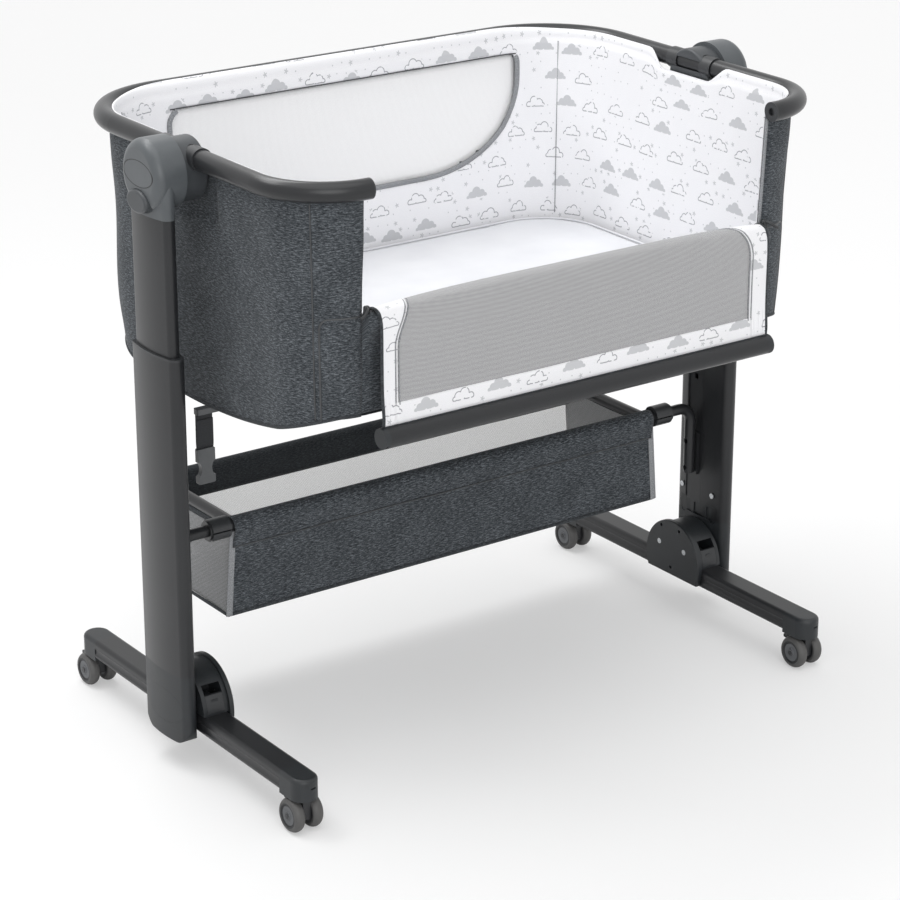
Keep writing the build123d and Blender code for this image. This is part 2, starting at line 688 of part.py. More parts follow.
def lower_tube(side):
    """Oval post tube with a shallow channel down its inner face."""
    x = side * POST_X
    foot = Plane((x, 0, SEAM_Z))
    backing = CHANNEL_DEEP + LOWER_WALL
    channel_mid = (NOTCH_TOP + CHANNEL_TOP) / 2
    channel_long = CHANNEL_TOP - NOTCH_TOP
    with BuildPart() as tube:
        with BuildSketch(foot):
            lower_oval()
            lower_oval(LOWER_WALL, mode=Mode.SUBTRACT)
        extrude(amount=LOWER_TOP - SEAM_Z)
        with BuildSketch(across(side * POST_IN)):
            with Locations((BASKET_FRONT, channel_mid)):
                Rectangle(CHANNEL_WIDE + 2 * LOWER_WALL, channel_long)
        extrude(amount=side * backing)
        with BuildSketch(across(side * (POST_IN - LOWER_WALL))):
            with Locations((BASKET_FRONT, channel_mid)):
                Rectangle(CHANNEL_WIDE, channel_long)
        extrude(amount=side * (LOWER_WALL + CHANNEL_DEEP), mode=Mode.SUBTRACT)
        with BuildSketch(across(side * (POST_IN - LOWER_WALL))):
            with Locations((0, (SEAM_Z + NOTCH_TOP) / 2)):
                Rectangle(NOTCH_DEEP, NOTCH_TOP - SEAM_Z)
        extrude(amount=side * 3 * LOWER_WALL, mode=Mode.SUBTRACT)
        with BuildSketch(across(side * (POST_IN - LOWER_WALL))):
            with Locations((BASKET_FRONT, LATCH_Z)):
                Rectangle(LATCH_SIZE, LATCH_SIZE)
        extrude(amount=side * 4 * LOWER_WALL, mode=Mode.SUBTRACT)
        with BuildSketch(across(side * (POST_IN - LOWER_WALL))):
            with Locations(*BOOT_SCREWS, *[(BASKET_FRONT, z) for z in FLANGE_SCREWS]):
                Circle(SCREW_R + RUNNING)
        extrude(amount=side * 4 * LOWER_WALL, mode=Mode.SUBTRACT)
        with BuildSketch(across(side * (POST_OUT - LOWER_WALL))):
            with Locations(DIMPLE[:2]):
                Circle(DIMPLE[2])
        extrude(amount=side * 2 * LOWER_WALL, mode=Mode.SUBTRACT)
    return tube.part


def guide_sleeves():
    """Plastic sleeves in the tops of the lower tubes, each with a lip on the rim."""
    with BuildPart() as sleeves:
        for side in (-1, 1):
            with BuildSketch(Plane((side * POST_X, 0, LOWER_TOP - SLEEVE_LONG))):
                lower_oval(LOWER_WALL + RUNNING)
            extrude(amount=SLEEVE_LONG)
            with BuildSketch(Plane((side * POST_X, 0, LOWER_TOP))):
                lower_oval()
            extrude(amount=SLEEVE_LIP)
            with BuildSketch(Plane((side * POST_X, 0, LOWER_TOP - SLEEVE_LONG))):
                upper_oval(-SLIDING)
            extrude(amount=SLEEVE_LONG + SLEEVE_LIP, mode=Mode.SUBTRACT)
    return sleeves.part


def hinge_bolts():
    """Fold bolts through boots and housings, and the screws of boots and brackets."""
    with BuildPart() as bolts:
        for side in (-1, 1):
            bolt_in = FOOT_IN + RUNNING
            bolt_out = POST_OUT - COVER_SKIN - 2 * SEAT
            with BuildSketch(across(side * bolt_in)):
                with Locations((0, FOLD_Z)):
                    Circle(PIN_R)
            extrude(amount=side * (bolt_out - bolt_in))
            spots = BOOT_SCREWS
            add(screw_row(spots, side * (POST_IN + GAP), side, SCREW_LONG))
            spots = [(BASKET_FRONT, z) for z in FLANGE_SCREWS]
            face = POST_IN + CHANNEL_DEEP - FLANGE[1] - SCREW_HEAD
            add(screw_row(spots, side * face, side, SCREW_LONG - 2))
    return bolts.part


def upper_tube(side):
    """Inner tube of a post, which slides in the guide sleeve."""
    with BuildPart() as tube:
        with BuildSketch(Plane((side * POST_X, 0, UPPER_FLOOR))):
            upper_oval()
            upper_oval(UPPER_WALL, mode=Mode.SUBTRACT)
        extrude(amount=UPPER_TOP - UPPER_FLOOR)
    return tube.part


def stop_plug(side):
    """Plug at the foot of the upper tube, wider than the guide sleeve's bore."""
    x = side * POST_X
    with BuildPart() as plug:
        with BuildSketch(Plane((x, 0, UPPER_FLOOR))):
            four_arc_oval(LOWER_DEEP - 2 * LOWER_WALL - 2 * GAP, UPPER_THICK, UPPER_NOSE)
        extrude(amount=-STOP_PLUG)
        with BuildSketch(Plane((x, 0, UPPER_FLOOR))):
            upper_oval(UPPER_WALL + SEAT)
        extrude(amount=PLUG_SPIGOT)
    return plug.part


# ---- Shoulders ----
def shoulder_shell(side):
    """Round outer shell on a neck that plugs into the upper tube."""
    x = side * POST_X
    thick = SHELL_OUT - SHELL_IN
    with BuildPart() as shell:
        with BuildSketch(across(side * SHELL_IN)):
            with Locations((0, DISC_Z)):
                Circle(SHELL_R)
        extrude(amount=side * thick)
        outer = shell.faces().sort_by(Axis.X)[-1 if side > 0 else 0]
        fillet(outer.edges(), SHELL_EDGE)
        with BuildSketch(Plane((x, 0, UPPER_TOP))):
            four_arc_oval(NECK_DEEP, NECK_THICK, NECK_NOSE)
        extrude(amount=DISC_Z - UPPER_TOP)
        with BuildSketch(Plane((x, 0, UPPER_TOP))):
            upper_oval(UPPER_WALL + SEAT)
        extrude(amount=-NECK_SPIGOT)
        with BuildSketch(across(side * SHELL_IN)):
            with Locations((0, DISC_Z + HOLLOW_RISE)):
                Circle(SHELL_HOLLOW)
        extrude(amount=side * (SHELL_FLOOR - SHELL_IN), mode=Mode.SUBTRACT)
        with BuildSketch(across(side * (SHELL_OUT - BADGE_THICK - SEAT))):
            with Locations((0, BADGE_Z)):
                Ellipse(BADGE_SIZE[0] / 2 + SEAT, BADGE_SIZE[1] / 2 + SEAT)
        extrude(amount=side * SHELL_EDGE, mode=Mode.SUBTRACT)
        with BuildSketch(across(side * (SHELL_OUT - KNOB_SINK - KNOB_PRESS - GAP))):
            with Locations((0, KNOB_Z)):
                Ellipse(KNOB_SIZE[0] / 2 + GAP, KNOB_SIZE[1] / 2 + GAP)
        extrude(amount=side * 2 * KNOB_SINK, mode=Mode.SUBTRACT)
        with BuildSketch(across(side * SHELL_IN)):
            with Locations((0, KNOB_Z)):
                Circle(KNOB_STEM_R + RUNNING)
        extrude(amount=side * thick, mode=Mode.SUBTRACT)
    return shell.part


def shoulder_hub(side):
    """Inner half of a shoulder, bored along Y for the rim tube and its bushes."""
    bore = HUB_OUT_R * 2
    with BuildPart() as hub:
        with BuildSketch(across(side * HUB_END)):
            with Locations((0, DISC_Z)):
                Circle(HUB_OUT_R)
        extrude(amount=side * (SHELL_IN - HUB_END))
        inner = hub.faces().sort_by(Axis.X)[0 if side > 0 else -1]
        fillet(inner.edges(), HUB_EDGE)
        with BuildSketch(across(side * SHELL_IN)):
            with Locations((0, DISC_Z + HOLLOW_RISE)):
                Circle(SHELL_HOLLOW - SEAT)
        extrude(amount=side * HUB_SPIGOT)
        with BuildSketch(Plane.XZ):
            with Locations((side * RIM_X, RIM_Z)):
                Circle(RIM_R + BUSH_WALL + SEAT)
        extrude(amount=bore, both=True, mode=Mode.SUBTRACT)
        with BuildSketch(across(side * SHELL_IN)):
            with Locations((0, KNOB_Z)):
                Circle(KNOB_STEM_R + 2)
        extrude(amount=side * 2 * HUB_SPIGOT, mode=Mode.SUBTRACT)
    return hub.part


def rim_bushes(side):
    """Two bushes round the rim tube; the right-hand pair has room for the tilt's drift."""
    drift = DRIFT + SEAT if side > 0 else 0.0
    with BuildPart() as bushes:
        for end in (-1, 1):
            with BuildSketch(Plane.XZ.offset(-end * (BUSH_OUT - BUSH_LONG))):
                with Locations((side * RIM_X, RIM_Z)):
                    Circle(RIM_R + BUSH_WALL)
                    Circle(RIM_R + RUNNING, mode=Mode.SUBTRACT)
                with Locations((side * RIM_X - drift, RIM_Z)):
                    Circle(RIM_R + RUNNING, mode=Mode.SUBTRACT)
                if drift:
                    with Locations((side * RIM_X - drift / 2, RIM_Z)):
                        Rectangle(drift, 2 * (RIM_R + RUNNING), mode=Mode.SUBTRACT)
            extrude(amount=-end * BUSH_LONG)
    return bushes.part


def shoulder_badge(side):
    """Plain oval plate let into the face of a shoulder."""
    with BuildPart() as badge:
        with BuildSketch(across(side * (SHELL_OUT - BADGE_THICK))):
            with Locations((0, BADGE_Z)):
                Ellipse(BADGE_SIZE[0] / 2, BADGE_SIZE[1] / 2)
        extrude(amount=side * BADGE_THICK)
    return badge.part


def height_button(side):
    """Oval push button below the shoulder, with its stem reaching the latch."""
    back = SHELL_OUT - KNOB_SINK
    with BuildPart() as button:
        with BuildSketch(across(side * back)):
            with Locations((0, KNOB_Z)):
                Ellipse(KNOB_SIZE[0] / 2, KNOB_SIZE[1] / 2)
        extrude(amount=side * (KNOB_OUT - back))
        outer = button.faces().sort_by(Axis.X)[-1 if side > 0 else 0]
        fillet(outer.edges(), KNOB_EDGE)
        with BuildSketch(across(side * back)):
            with Locations((0, KNOB_Z)):
                Circle(KNOB_STEM_R)
        extrude(amount=-side * KNOB_STEM)
    return button.part


# ---- Rim tube ----
def rim_tube():
    """Open rim tube: two arms in front, round corners, one straight back run."""
    turn = 1 - sqrt(0.5)
    back_x = RIM_X - CORNER_BACK
    back_y = RIM_BACK - CORNER_BACK
    front_x = RIM_X - CORNER_FRONT
    front_y = RIM_FRONT + CORNER_FRONT
    end_x = ARM_END + PLUG_LIP
    with BuildPart() as tube:
        with BuildLine(Plane.XY.offset(RIM_Z)) as route:
            if front_x - end_x > GAP:
                Line((-end_x, RIM_FRONT), (-front_x, RIM_FRONT))
            ThreePointArc(
                (-front_x, RIM_FRONT),
                (-RIM_X + turn * CORNER_FRONT, RIM_FRONT + turn * CORNER_FRONT),
                (-RIM_X, front_y),
            )
            Line((-RIM_X, front_y), (-RIM_X, back_y))
            ThreePointArc(
                (-RIM_X, back_y),
                (-RIM_X + turn * CORNER_BACK, RIM_BACK - turn * CORNER_BACK),
                (-back_x, RIM_BACK),
            )
            Line((-back_x, RIM_BACK), (back_x, RIM_BACK))
            ThreePointArc(
                (back_x, RIM_BACK),
                (RIM_X - turn * CORNER_BACK, RIM_BACK - turn * CORNER_BACK),
                (RIM_X, back_y),
            )
            Line((RIM_X, back_y), (RIM_X, front_y))
            ThreePointArc(
                (RIM_X, front_y),
                (RIM_X - turn * CORNER_FRONT, RIM_FRONT + turn * CORNER_FRONT),
                (front_x, RIM_FRONT),
            )
        with BuildSketch(Plane(origin=route.wire() @ 0, z_dir=route.wire() % 0)):
            Circle(RIM_R)
            Circle(RIM_R - RIM_WALL, mode=Mode.SUBTRACT)
        sweep(path=route.wire())
    return tube.part


def rim_plugs():
    """End plugs of the two arms: the left has a nub, the right a socket for the rail."""
    with BuildPart() as plugs:
        for side in (-1, 1):
            face = across(side * (ARM_END + PLUG_LIP))
            with BuildSketch(face):
                with Locations((RIM_FRONT, RIM_Z)):
                    Circle(RIM_R)
            extrude(amount=-side * PLUG_LIP)
            with BuildSketch(face):
                with Locations((RIM_FRONT, RIM_Z)):
                    Circle(RIM_R - RIM_WALL - 3 * SEAT)
            extrude(amount=side * PLUG_TAIL)
        with BuildSketch(across(-ARM_END)):
            with Locations((RIM_FRONT, RIM_Z)):
                Circle(NUB[0])
        extrude(amount=NUB[1])
        with BuildSketch(across(ARM_END)):
            with Locations((RIM_FRONT, RIM_Z)):
                Circle(SOCKET_R)
        extrude(amount=PLUG_LIP + PLUG_TAIL / 2, mode=Mode.SUBTRACT)
    return plugs.part


# ---- Drop side ----
def drop_rail():
    """Tube along the lower edge of the drop side."""
    with BuildPart() as rail:
        with BuildSketch(across(0)):
            with Locations((RAIL_Y, RAIL_Z)):
                Circle(RAIL_R)
                Circle(RAIL_R - RAIL_WALL, mode=Mode.SUBTRACT)
        extrude(amount=RAIL_HALF, both=True)
    return rail.part


def rail_caps():
    """Latch caps in both ends of the rail, each with a catch notch underneath."""
    with BuildPart() as caps:
        for side in (-1, 1):
            with BuildSketch(across(side * RAIL_HALF)):
                with Locations((RAIL_Y, RAIL_Z)):
                    Circle(RAIL_R)
            extrude(amount=side * RAIL_CAP)
            with BuildSketch(across(side * RAIL_HALF)):
                with Locations((RAIL_Y, RAIL_Z)):
                    Circle(RAIL_R - RAIL_WALL - SEAT)
            extrude(amount=-side * RAIL_SPIGOT)
            notch_x = side * (RAIL_HALF + RAIL_CAP / 2)
            with BuildSketch(Plane.XZ.offset(-RAIL_Y)):
                with Locations((notch_x, RAIL_Z - RAIL_R)):
                    Rectangle(RAIL_NOTCH[0], 2 * RAIL_NOTCH[1])
            extrude(amount=RAIL_R, both=True, mode=Mode.SUBTRACT)
    return caps.part


def drop_panel():
    """Flat cloth panel between the drop hinge and the rail."""
    face_y = HINGE_Y - PANEL_OFF
    top = HINGE_Z - PANEL_TOP
    floor = RAIL_Z + RAIL_R + GAP
    with BuildPart() as panel:
        with BuildSketch(Plane.XZ.offset(-face_y)):
            with Locations((0, (top + floor) / 2)):
                RectangleRounded(2 * PANEL_HALF, top - floor, 3)
        extrude(amount=PANEL_THICK)
    return panel.part


# ---- Cradle body ----
def body_shell():
    """Padded cloth body hung under the rim tube, open on top and low in front."""
    wall = BODY_WALL
    side_x = RIM_X - BODY_IN
    seat_y = HINGE_Y - PANEL_OFF + GAP
    window_mid_x = (WINDOW_X[0] + WINDOW_X[1]) / 2
    window_mid_z = (WINDOW_Z[0] + WINDOW_Z[1]) / 2
    with BuildPart() as body:
        with BuildSketch(Plane.XY.offset(BODY_FLOOR)):
            rim_outline(body_inset(BODY_FLOOR))
        with BuildSketch(Plane.XY.offset(BODY_TOP)):
            rim_outline(BODY_IN)
        loft(ruled=True)
        with BuildSketch(Plane.XY.offset(FLOOR_TOP)):
            rim_outline(body_inset(FLOOR_TOP) + wall)
        with BuildSketch(Plane.XY.offset(BODY_TOP)):
            rim_outline(BODY_IN + wall)
        loft(ruled=True, mode=Mode.SUBTRACT)
        with BuildSketch(Plane.XY.offset(BODY_FLOOR)):
            rim_outline(body_inset(BODY_FLOOR) + wall)
        with BuildSketch(Plane.XY.offset(FLOOR_Z)):
            rim_outline(body_inset(FLOOR_Z) + wall)
        loft(ruled=True, mode=Mode.SUBTRACT)
        with BuildSketch(Plane.YZ):
            with BuildLine():
                ThreePointArc(*SKIRT)
                Polyline(
                    SKIRT[2],
                    (SKIRT[2][0] + SKIRT_PAST, SKIRT[2][1]),
                    (SKIRT[2][0] + SKIRT_PAST, BODY_FLOOR - SKIRT_PAST),
                    (SKIRT[0][0] - SKIRT_PAST, BODY_FLOOR - SKIRT_PAST),
                    (SKIRT[0][0] - SKIRT_PAST, SKIRT[0][1]),
                    SKIRT[0],
                )
            make_face()
        extrude(amount=2 * RIM_X, both=True, mode=Mode.SUBTRACT)
        with BuildSketch(Plane.XZ.offset(-RIM_FRONT - 2 * CORNER_FRONT)):
            with Locations((0, BODY_FRONT_TOP + RIM_Z / 2)):
                Rectangle(2 * OPEN_HALF, RIM_Z)
        extrude(amount=4 * CORNER_FRONT, mode=Mode.SUBTRACT)
        with BuildSketch(Plane.YZ):
            with BuildLine():
                Polyline(
                    (RIM_FRONT + 2 * BODY_IN + wall, BODY_FRONT_TOP),
                    (seat_y, BODY_FRONT_TOP),
                    (seat_y, BODY_FRONT_TOP - SHELF_UNDER / 2),
                    (RIM_FRONT + body_inset(HINGE_Z) + wall / 2, BODY_FRONT_TOP - 2 * SHELF_UNDER),
                    (RIM_FRONT + 2 * BODY_IN + wall, BODY_FRONT_TOP - 2 * SHELF_UNDER),
                    (RIM_FRONT + 2 * BODY_IN + wall, BODY_FRONT_TOP),
                )
            make_face()
        extrude(amount=PANEL_HALF, both=True)
        for side in (-1, 1):
            with BuildSketch(across(side * (HUB_END - HUB_SWING))):
                with Locations((0, HUB_POCKET[1] + RIM_Z / 2)):
                    Rectangle(HUB_POCKET[0], RIM_Z)
            extrude(amount=side * side_x, mode=Mode.SUBTRACT)
        with BuildSketch(Plane.XZ.offset(-RIM_BACK + 2 * CORNER_FRONT)):
            with Locations((window_mid_x, window_mid_z)):
                RectangleRounded(
                    WINDOW_X[1] - WINDOW_X[0], WINDOW_Z[1] - WINDOW_Z[0], WINDOW_CORNER
                )
        extrude(amount=-4 * CORNER_FRONT, mode=Mode.SUBTRACT)
    return body.part


def window_mesh():
    """Thin mesh pane in the opening of the back wall, leaning with the wall."""
    mid_x = (WINDOW_X[0] + WINDOW_X[1]) / 2
    mid_z = (WINDOW_Z[0] + WINDOW_Z[1]) / 2
    back_y = RIM_BACK - body_inset(mid_z) - BODY_WALL / 2
    pane = Plane(origin=(mid_x, back_y, mid_z), x_dir=(1, 0, 0), z_dir=(0, -1, WALL_LEAN))
    with BuildPart() as mesh:
        with BuildSketch(pane):
            RectangleRounded(
                WINDOW_X[1] - WINDOW_X[0] - 2 * GAP,
                WINDOW_Z[1] - WINDOW_Z[0] - 2 * GAP,
                WINDOW_CORNER,
            )
        extrude(amount=WINDOW_THICK / 2, both=True)
    return mesh.part


def base_board():
    """Flat board on the floor of the body."""
    with BuildPart() as board:
        with BuildSketch(Plane.XY.offset(BOARD_Z)):
            rim_outline(body_inset(BOARD_Z) + BODY_WALL + 2 * GAP)
        extrude(amount=BOARD_THICK)
    return board.part


def mattress():
    """Flat mattress on the board."""
    with BuildPart() as pad:
        with BuildSketch(Plane.XY.offset(MATTRESS_Z)):
            rim_outline(body_inset(MATTRESS_Z) + BODY_WALL + 3 * GAP)
        extrude(amount=MATTRESS_THICK)
        fillet(pad.faces().sort_by(Axis.Z)[-1].edges(), MATTRESS_EDGE)
    return pad.part


# ---- Basket ----
def basket_frame():
    """Front bar with a hoop behind it that carries the basket cloth."""
    with BuildPart() as frame:
        with BuildSketch(across(0)):
            with Locations((BASKET_FRONT, BASKET_Z)):
                Circle(BAR_R)
        extrude(amount=BAR_HALF, both=True)
        with BuildLine(Plane.XY.offset(BASKET_Z)) as hoop:
            FilletPolyline(
                (-HOOP_HALF, BASKET_FRONT),
                (-HOOP_HALF, BASKET_BACK),
                (HOOP_HALF, BASKET_BACK),
                (HOOP_HALF, BASKET_FRONT),
                radius=HOOP_CORNER,
            )
        start = Plane(origin=hoop.wire() @ 0, z_dir=hoop.wire() % 0)
        with BuildSketch(start):
            Circle(HOOP_R)
        sweep(path=hoop.wire())
        with BuildSketch(across(0)):
            with Locations((BASKET_FRONT, BASKET_Z)):
                Circle(BAR_R - BAR_WALL)
        extrude(amount=BAR_HALF, both=True, mode=Mode.SUBTRACT)
        with BuildSketch(start):
            Circle(HOOP_R - BAR_WALL)
        sweep(path=hoop.wire(), mode=Mode.SUBTRACT)
    return frame.part


def basket_clamps():
    """Split collars that hold the ends of the front bar."""
    with BuildPart() as clamps:
        for side in (-1, 1):
            with BuildSketch(across(side * CLAMP_FROM)):
                with Locations((BASKET_FRONT, BASKET_Z)):
                    Circle(CLAMP_R)
                    Circle(BAR_R + RUNNING, mode=Mode.SUBTRACT)
                with Locations((BASKET_FRONT - CLAMP_R, BASKET_Z)):
                    Rectangle(CLAMP_R, CLAMP_SLOT, mode=Mode.SUBTRACT)
            extrude(amount=side * (CLAMP_TO - CLAMP_FROM))
    return clamps.part


def basket_brackets():
    """Bent bracket tubes from the clamps to flanges screwed on the posts."""
    with BuildPart() as brackets:
        for side in (-1, 1):
            flange_x = POST_IN + CHANNEL_DEEP
            drop_x = flange_x - FLANGE[1] + BRACKET_SINK - BRACKET_R
            with BuildLine(Plane.XZ.offset(-BASKET_FRONT)) as bend:
                FilletPolyline(
                    (side * CLAMP_TO, BASKET_Z),
                    (side * drop_x, BASKET_Z),
                    (side * drop_x, BRACKET_FLOOR),
                    radius=BRACKET_BEND,
                )
            with BuildSketch(Plane(origin=bend.wire() @ 0, z_dir=bend.wire() % 0)):
                Circle(BRACKET_R)
                Circle(BRACKET_R - BAR_WALL, mode=Mode.SUBTRACT)
            sweep(path=bend.wire())
            with BuildSketch(across(side * CLAMP_TO)):
                with Locations((BASKET_FRONT, BASKET_Z)):
                    Circle(CLAMP_R - 2)
                    Circle(BRACKET_R - BAR_WALL, mode=Mode.SUBTRACT)
            extrude(amount=side * BRACKET_DISC)
            with BuildSketch(across(side * flange_x)):
                with Locations((BASKET_FRONT, (FLANGE_Z[0] + FLANGE_Z[1]) / 2)):
                    RectangleRounded(FLANGE[0], FLANGE_Z[1] - FLANGE_Z[0], 4)
            extrude(amount=-side * FLANGE[1])
            with BuildSketch(across(side * flange_x)):
                with Locations(*[(BASKET_FRONT, z) for z in FLANGE_SCREWS]):
                    Circle(SCREW_R + RUNNING)
            extrude(amount=-side * FLANGE[1], mode=Mode.SUBTRACT)
            with BuildSketch(across(side * (flange_x - FLANGE[1]))):
                with Locations(*[(BASKET_FRONT, z) for z in FLANGE_SCREWS]):
                    Circle(SCREW_HEAD_R + SEAT)
            extrude(amount=-side * (2 * BRACKET_R), mode=Mode.SUBTRACT)
    return brackets.part


def basket_bag():
    """Open cloth tray hung under the basket frame."""
    top = BASKET_Z - BAR_R - GAP
    front = BASKET_FRONT - BAG_WALL
    back = BASKET_BACK + BAG_WALL
    mid_y = (front + back) / 2
    deep = back - front
    with BuildPart() as bag:
        with BuildSketch(Plane((0, mid_y, BAG_FLOOR))):
            Rectangle(2 * BAG_FLOOR_HALF, deep)
        with BuildSketch(Plane((0, mid_y, top))):
            Rectangle(2 * BAG_TOP_HALF, deep)
        loft(ruled=True)
        with BuildSketch(Plane((0, mid_y, BAG_FLOOR + BAG_WALL))):
            Rectangle(2 * (BAG_FLOOR_HALF - BAG_WALL), deep - 2 * BAG_WALL)
        with BuildSketch(Plane((0, mid_y, top))):
            Rectangle(2 * (BAG_TOP_HALF - BAG_WALL), deep - 2 * BAG_WALL)
        loft(ruled=True, mode=Mode.SUBTRACT)
    return bag.part


# ---- Anchor straps ----
def anchor_straps():
    """Webbing straps that hang from stays under the ends of the body."""
    with BuildPart() as straps:
        for side in (-1, 1):
            x = side * STRAP_X
            with BuildSketch(Plane.XZ.offset(-STRAP_Y)):
                with Locations((x, sum(STRAP_Z) / 2)):
                    Rectangle(STRAP_WIDE, STRAP_Z[1] - STRAP_Z[0])
            extrude(amount=STRAP_THICK / 2, both=True)
    return straps.part


def strap_fittings():
    """Stays that carry the straps, and the waisted half buckles at their ends."""
    skirt_in = RIM_X - body_inset(BODY_FLOOR) - BODY_WALL
    tall = BUCKLE_Z[1] - BUCKLE_Z[0]
    half = STRAP_WIDE / 2
    waist_z = BUCKLE_Z[0] + WAIST_AT * tall
    inner = skirt_in + 2
    outer = STRAP_X + half
    with BuildPart() as fittings:
        for side in (-1, 1):
            x = side * STRAP_X
            with BuildSketch(Plane.XZ.offset(-STRAP_Y)):
                with Locations((x, sum(BUCKLE_Z) / 2)):
                    RectangleRounded(2 * half, tall, 2)
                with Locations((x - half, waist_z), (x + half, waist_z)):
                    Ellipse(*BUCKLE_WAIST, mode=Mode.SUBTRACT)
            extrude(amount=BUCKLE_THICK / 2, both=True)
            with BuildSketch(Plane.XZ.offset(-STRAP_Y)):
                with Locations((x, BUCKLE_Z[1])):
                    Rectangle(STRAP_WIDE + SEAT, 2 * (BUCKLE_Z[1] - STRAP_Z[0]) + SEAT)
            extrude(amount=STRAP_THICK / 2 + SEAT / 2, both=True, mode=Mode.SUBTRACT)
            with BuildSketch(Plane.XY.offset(STRAP_Z[1])):
                with Locations((side * (inner + outer) / 2, STRAP_Y)):
                    RectangleRounded(outer - inner, STAY_DEEP, 3)
            extrude(amount=skirt_z(STRAP_Y) - GAP - STRAP_Z[1])
    return fittings.part


# ---- Write every piece ----
def write(name, shape):
    """Labels one piece and writes it under its own name."""
    shape.label = name
    export_step(shape, f"parts/{name}.step")


os.makedirs("parts", exist_ok=True)

for side_name, side in SIDES.items():
    for end_name, end in ENDS.items():
        corner = f"{end_name}_{side_name}"
        spot = (side * FOOT_X, end * STEM_Y)
        write(f"caster_fork_{corner}", caster_fork(*spot))
        write(f"caster_wheels_{corner}", caster_wheels(*spot))
        write(f"caster_brake_{corner}", caster_brake(*spot))
    write(f"foot_tube_{side_name}", foot_tube(side))
    write(f"foot_caps_{side_name}", foot_caps(side))
    write(f"hinge_housing_{side_name}", hinge_housing(side))
    write(f"hinge_plate_{side_name}", hinge_plate(side))
    plate_face = side * PLATE_IN
    write(f"hinge_screws_{side_name}", screw_row(PLATE_SCREWS, plate_face, side, SCREW_LONG))
    write(f"fold_button_{side_name}", fold_button(side))
    write(f"post_boot_{side_name}", post_boot(side))
    write(f"lower_tube_{side_name}", lower_tube(side))
    write(f"upper_tube_{side_name}", upper_tube(side))
    write(f"stop_plug_{side_name}", stop_plug(side))
    write(f"shoulder_shell_{side_name}", shoulder_shell(side))
    write(f"shoulder_hub_{side_name}", shoulder_hub(side))
    write(f"rim_bushes_{side_name}", rim_bushes(side))
    write(f"shoulder_badge_{side_name}", shoulder_badge(side))
    write(f"height_button_{side_name}", height_button(side))

write("boot_covers", boot_covers())
write("guide_sleeves", guide_sleeves())
write("hinge_bolts", hinge_bolts())
write("rim_tube", rim_tube())
write("rim_plugs", rim_plugs())
write("drop_rail", drop_rail())
write("rail_caps", rail_caps())
write("drop_panel", drop_panel())
write("body_shell", body_shell())
write("window_mesh", window_mesh())
write("base_board", base_board())
write("mattress", mattress())
write("basket_frame", basket_frame())
write("basket_clamps", basket_clamps())
write("basket_brackets", basket_brackets())
write("basket_bag", basket_bag())
write("anchor_straps", anchor_straps())
write("strap_fittings", strap_fittings())
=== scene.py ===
# %% [markdown]
# # A bedside bassinet on a folding stand
# The real thing is a soft basin hung on a painted steel rim between two telescopic
# posts, with a cloth basket below it. The hard parts arrive as finished CAD nodes
# and only need good finishes. The soft parts arrive as plain stand-in blocks, so
# each of them is made again here as sewn cloth that fits the same space.

# %% Load the frame
from math import asin, cos, pi, radians, sin, sqrt

import bpy
import mathutils
import numpy as np
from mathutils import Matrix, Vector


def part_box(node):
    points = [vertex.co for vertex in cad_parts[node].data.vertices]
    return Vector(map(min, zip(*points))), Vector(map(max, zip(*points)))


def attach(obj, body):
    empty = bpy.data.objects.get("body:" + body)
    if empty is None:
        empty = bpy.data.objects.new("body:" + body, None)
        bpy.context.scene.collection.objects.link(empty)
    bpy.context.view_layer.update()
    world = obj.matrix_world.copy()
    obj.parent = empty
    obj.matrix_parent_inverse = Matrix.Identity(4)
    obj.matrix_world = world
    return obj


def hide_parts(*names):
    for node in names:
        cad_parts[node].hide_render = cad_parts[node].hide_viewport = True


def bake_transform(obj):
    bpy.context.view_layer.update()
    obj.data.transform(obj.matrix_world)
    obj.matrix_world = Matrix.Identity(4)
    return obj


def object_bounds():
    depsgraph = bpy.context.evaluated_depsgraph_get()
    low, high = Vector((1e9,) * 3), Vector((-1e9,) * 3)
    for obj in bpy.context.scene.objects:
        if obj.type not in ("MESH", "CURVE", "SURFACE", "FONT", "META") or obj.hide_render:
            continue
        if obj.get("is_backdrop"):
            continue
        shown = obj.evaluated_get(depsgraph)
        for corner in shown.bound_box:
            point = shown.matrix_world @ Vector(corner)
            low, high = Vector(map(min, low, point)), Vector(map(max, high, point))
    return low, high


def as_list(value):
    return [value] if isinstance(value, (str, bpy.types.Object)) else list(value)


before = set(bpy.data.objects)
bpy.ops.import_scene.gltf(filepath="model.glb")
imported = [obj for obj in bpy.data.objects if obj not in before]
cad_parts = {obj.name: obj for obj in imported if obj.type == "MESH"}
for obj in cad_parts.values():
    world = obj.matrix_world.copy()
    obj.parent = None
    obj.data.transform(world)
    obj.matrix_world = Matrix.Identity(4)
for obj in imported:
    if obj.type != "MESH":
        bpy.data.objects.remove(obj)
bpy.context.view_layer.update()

# %% [markdown]
# ## Measures
# A tailor works from the frame the cloth hangs on. These are the sizes of the CAD model,
# in millimetres, and the mesh makers below turn them into metres.
# X runs along the crib, the drop side faces -Y and Z is up.

